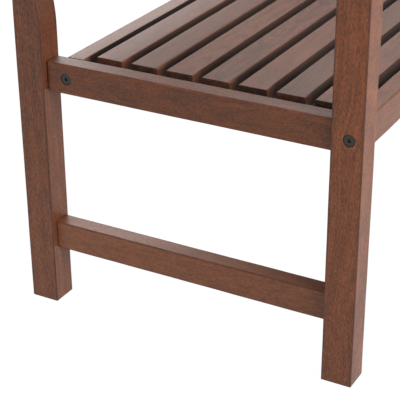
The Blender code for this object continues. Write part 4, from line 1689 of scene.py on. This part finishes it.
@dataclass
class Back:
    """The raked back: a top and a bottom rail with their bolts, and eleven upright slats between them."""

    rail_thickness: float = 0.024
    top_depth: float = 0.070
    bottom_depth: float = 0.045
    top_arris: float = 0.0024
    arris: float = 0.0018
    slat_width: float = 0.047
    slat_thickness: float = 0.012
    housing: float = 0.012
    nut_length: float = 0.016
    rail_board: Board = Board(Cut.FLAT, 0.03, 0.0, 1.1)
    slat_tones: Sequence[float] = (0.03, -0.04, 0.06, 0.0, -0.05, 0.05, 0.02, -0.03, 0.07, -0.02, 0.04)

    def __post_init__(self) -> None:
        """Lays out the rails and slats."""
        self.top = self.make_rail("back_top", self.top_depth, JOINERY.top_stub, self.top_arris)
        self.bottom = self.make_rail("back_bottom", self.bottom_depth, JOINERY.bottom_stub, self.arris)
        self.slats = [self.make_slat(number, tone) for number, tone in enumerate(self.slat_tones, start=1)]

    def make_rail(self, name: str, depth: float, stub: Tenon, upper: float) -> BoltedRail:
        """A rail of the back, whose nuts go in from behind.

        Args:
            name: how its node and those of its fixings begin.
            depth: its size up the back.
            stub: the tenon on its ends.
            upper: radius of its two upper arrises.

        Returns:
            The rail with its fixings.
        """
        centre, half = box_of(f"{name}_rail")
        half = np.array([self.rail_thickness / 2.0, depth / 2.0, half[0] - stub.length])
        arrises = (self.arris, upper, upper, self.arris)
        timber = Timber(
            f"{name}_rail", Run.ACROSS_THE_BACK, centre, half, self.rail_board, arrises, tenon=stub)
        return BoltedRail(timber, name, timber.axes[0], self.nut_length)

    def make_slat(self, number: int, tone: float) -> Timber:
        """A slat of the back, whose length follows from its box.

        Formula: a raked slat's box is length * cos(rake) + thickness * sin(rake) high and
        length * sin(rake) + thickness * cos(rake) deep, which gives the length.

        Args:
            number: its number, from the left.
            tone: how light and how warm its wood is.

        Returns:
            The slat.
        """
        centre, half = box_of(f"back_slat_{number}")
        half_length = (half[2] * LEAN_COSINE - half[1] * LEAN_SINE) / (LEAN_COSINE**2 - LEAN_SINE**2)
        half = np.array([self.slat_width / 2.0, self.slat_thickness / 2.0, half_length])
        return Timber(f"back_slat_{number}", Run.UP_THE_BACK, centre, half, Board(Cut.FLAT, tone, tone, 1.1))

    def build(self) -> None:
        """Makes the rails with their housings, the slats, and the rails' fixings."""
        for rail, side in ((self.top, 1.0), (self.bottom, -1.0)):
            rail.build(slat.hole(side, self.housing + OVERRUN) for slat in self.slats)
        for slat in self.slats:
            slat.build(FINISHES.slats)
        build_fixings(self.top, self.bottom)


@dataclass(frozen=True)
class Lamp:
    """A square soft box that faces the bench."""

    name: str
    heading: float
    height: float
    distance: float
    width: float
    power: float

    def hang(self, target: Vector) -> None:
        """Hangs the lamp.

        Formula: the target, plus the distance along the bearing, which counts in degrees from minus Y
        towards plus X, plus the height.

        Args:
            target: the point that it faces.
        """
        bearing = math.radians(self.heading)
        place = target + Vector((
            self.distance * math.sin(bearing), -self.distance * math.cos(bearing), self.height))
        light = bpy.data.lights.new(self.name, "AREA")
        light.shape = "SQUARE"
        light.size = self.width
        light.energy = self.power
        lamp = new_object(self.name, light)
        lamp.location = place
        lamp.rotation_euler = (target - place).to_track_quat("-Z", "Y").to_euler()


@dataclass(frozen=True)
class Studio:
    """Camera, floor, surroundings and soft lamps.

    Args:
        place: where the camera stands.
        heading: where it looks, in degrees from plus Y towards plus X.
        dip: how far it looks down, in degrees.
        roll: its turn about its own view, in degrees.
        lens: focal length.
        sensor: width of the sensor, in the measure of the lens.
        reach: how far the camera sees.
        floor_width: side of the square floor.
        floor_glow: share of the floor's white that the lamps don't make, which keeps its shadows faint.
        floor_shine: strength of that share.
        floor_white: colour of the floor's paint.
        sky: strength of the surroundings as light.
        lamps: the soft boxes.
        lamp_target: what they face.
    """

    place: Triple = (-2.1272, -0.91086, 1.15092)
    heading: float = 60.9017
    dip: float = 26.7343
    roll: float = -0.4456
    lens: float = 117.608
    sensor: float = 36.0
    reach: float = 100.0
    floor_width: float = 60.0
    floor_glow: float = 0.90
    floor_shine: float = 1.08
    floor_white: Colour = (0.62, 0.62, 0.62, 1.0)
    sky: float = 0.62
    lamps: Sequence[Lamp] = (
        Lamp("key", -24.0, 1.1, 2.6, 1.6, 64.0),
        Lamp("rim", 136.0, 1.4, 2.6, 2.0, 34.0),
    )
    lamp_target: Triple = (0.0, 0.0, 0.4)

    def build(self) -> None:
        """Makes the studio and takes the view."""
        self.aim_camera()
        self.lay_floor()
        self.light_world()
        for lamp in self.lamps:
            lamp.hang(Vector(self.lamp_target))
        bpy.context.scene.view_settings.view_transform = "Standard"

    def aim_camera(self) -> None:
        """Places the camera: a turn about Z to its heading, a tilt down, and a roll about its view."""
        camera = bpy.data.cameras.new("view")
        camera.lens = self.lens
        camera.sensor_width = self.sensor
        camera.clip_end = self.reach
        stand = new_object("view", camera)
        turn = Matrix.Rotation(-math.radians(self.heading), 4, "Z")
        tilt = Matrix.Rotation(math.radians(90.0 - self.dip), 4, "X")
        roll = Matrix.Rotation(math.radians(self.roll), 4, "Z")
        stand.matrix_world = Matrix.Translation(self.place) @ turn @ tilt @ roll
        bpy.context.scene.camera = stand

    @staticmethod
    def background_rays(sheet: NodeSheet) -> Wire:
        """Which rays show the background: the camera's, and those that a surface mirrors or lets through.

        Args:
            sheet: the material's or the world's nodes.

        Returns:
            1 for those rays, and 0 for the rest.
        """
        path = sheet.node("LightPath").socket.node
        names = ("Is Camera Ray", "Is Glossy Ray", "Is Transmission Ray")
        seen, mirrored, passed = (Wire(sheet, path.outputs[name]) for name in names)
        return seen.most(mirrored).most(passed)

    def lay_floor(self) -> None:
        """A white floor on which the bench leaves a faint shadow."""
        half = self.floor_width / 2.0
        corners = [(-half, -half, 0.0), (half, -half, 0.0), (half, half, 0.0), (-half, half, 0.0)]
        mesh = bpy.data.meshes.new("floor")
        mesh.from_pydata(corners, [], [(0, 1, 2, 3)])
        floor = new_object("floor", mesh)
        material, sheet = new_material("studio_floor")
        paint = sheet.node("BsdfDiffuse", None, {"Color": self.floor_white})
        glow = sheet.node("Emission", None, {"Color": WHITE, "Strength": self.floor_shine})
        share = self.background_rays(sheet) * self.floor_glow
        mixed = sheet.node("MixShader", None, {0: share, 1: paint, 2: glow})
        sheet.node("OutputMaterial", None, {"Surface": mixed})
        mesh.materials.append(material)

    def light_world(self) -> None:
        """Even white surroundings, seen at full white and lighting the bench at the sky's strength."""
        world = bpy.data.worlds.new("studio")
        world.use_nodes = True
        sheet = NodeSheet(world.node_tree)
        strength = self.sky + (1.0 - self.sky) * self.background_rays(sheet)
        background = {"Color": WHITE, "Strength": strength}
        sheet.node("OutputWorld", None, {"Surface": sheet.node("Background", None, background)})
        bpy.context.scene.world = world


@dataclass
class Bench:
    """The whole bench, from its frame to its slats."""

    seat_frame: SeatFrame = field(default_factory=SeatFrame)
    back: Back = field(default_factory=Back)

    def build(self) -> None:
        """Makes every piece in the order of assembly."""
        for end in End:
            EndFrame(end, self.seat_frame).build(self.back)
        self.seat_frame.build()
        Seat(self.seat_frame).build()
        self.back.build()


def main() -> None:
    """Builds the studio and the bench."""
    logging.basicConfig(level=logging.INFO, format="%(message)s")
    Studio().build()
    Bench().build()


if __name__ == "__main__":
    main()
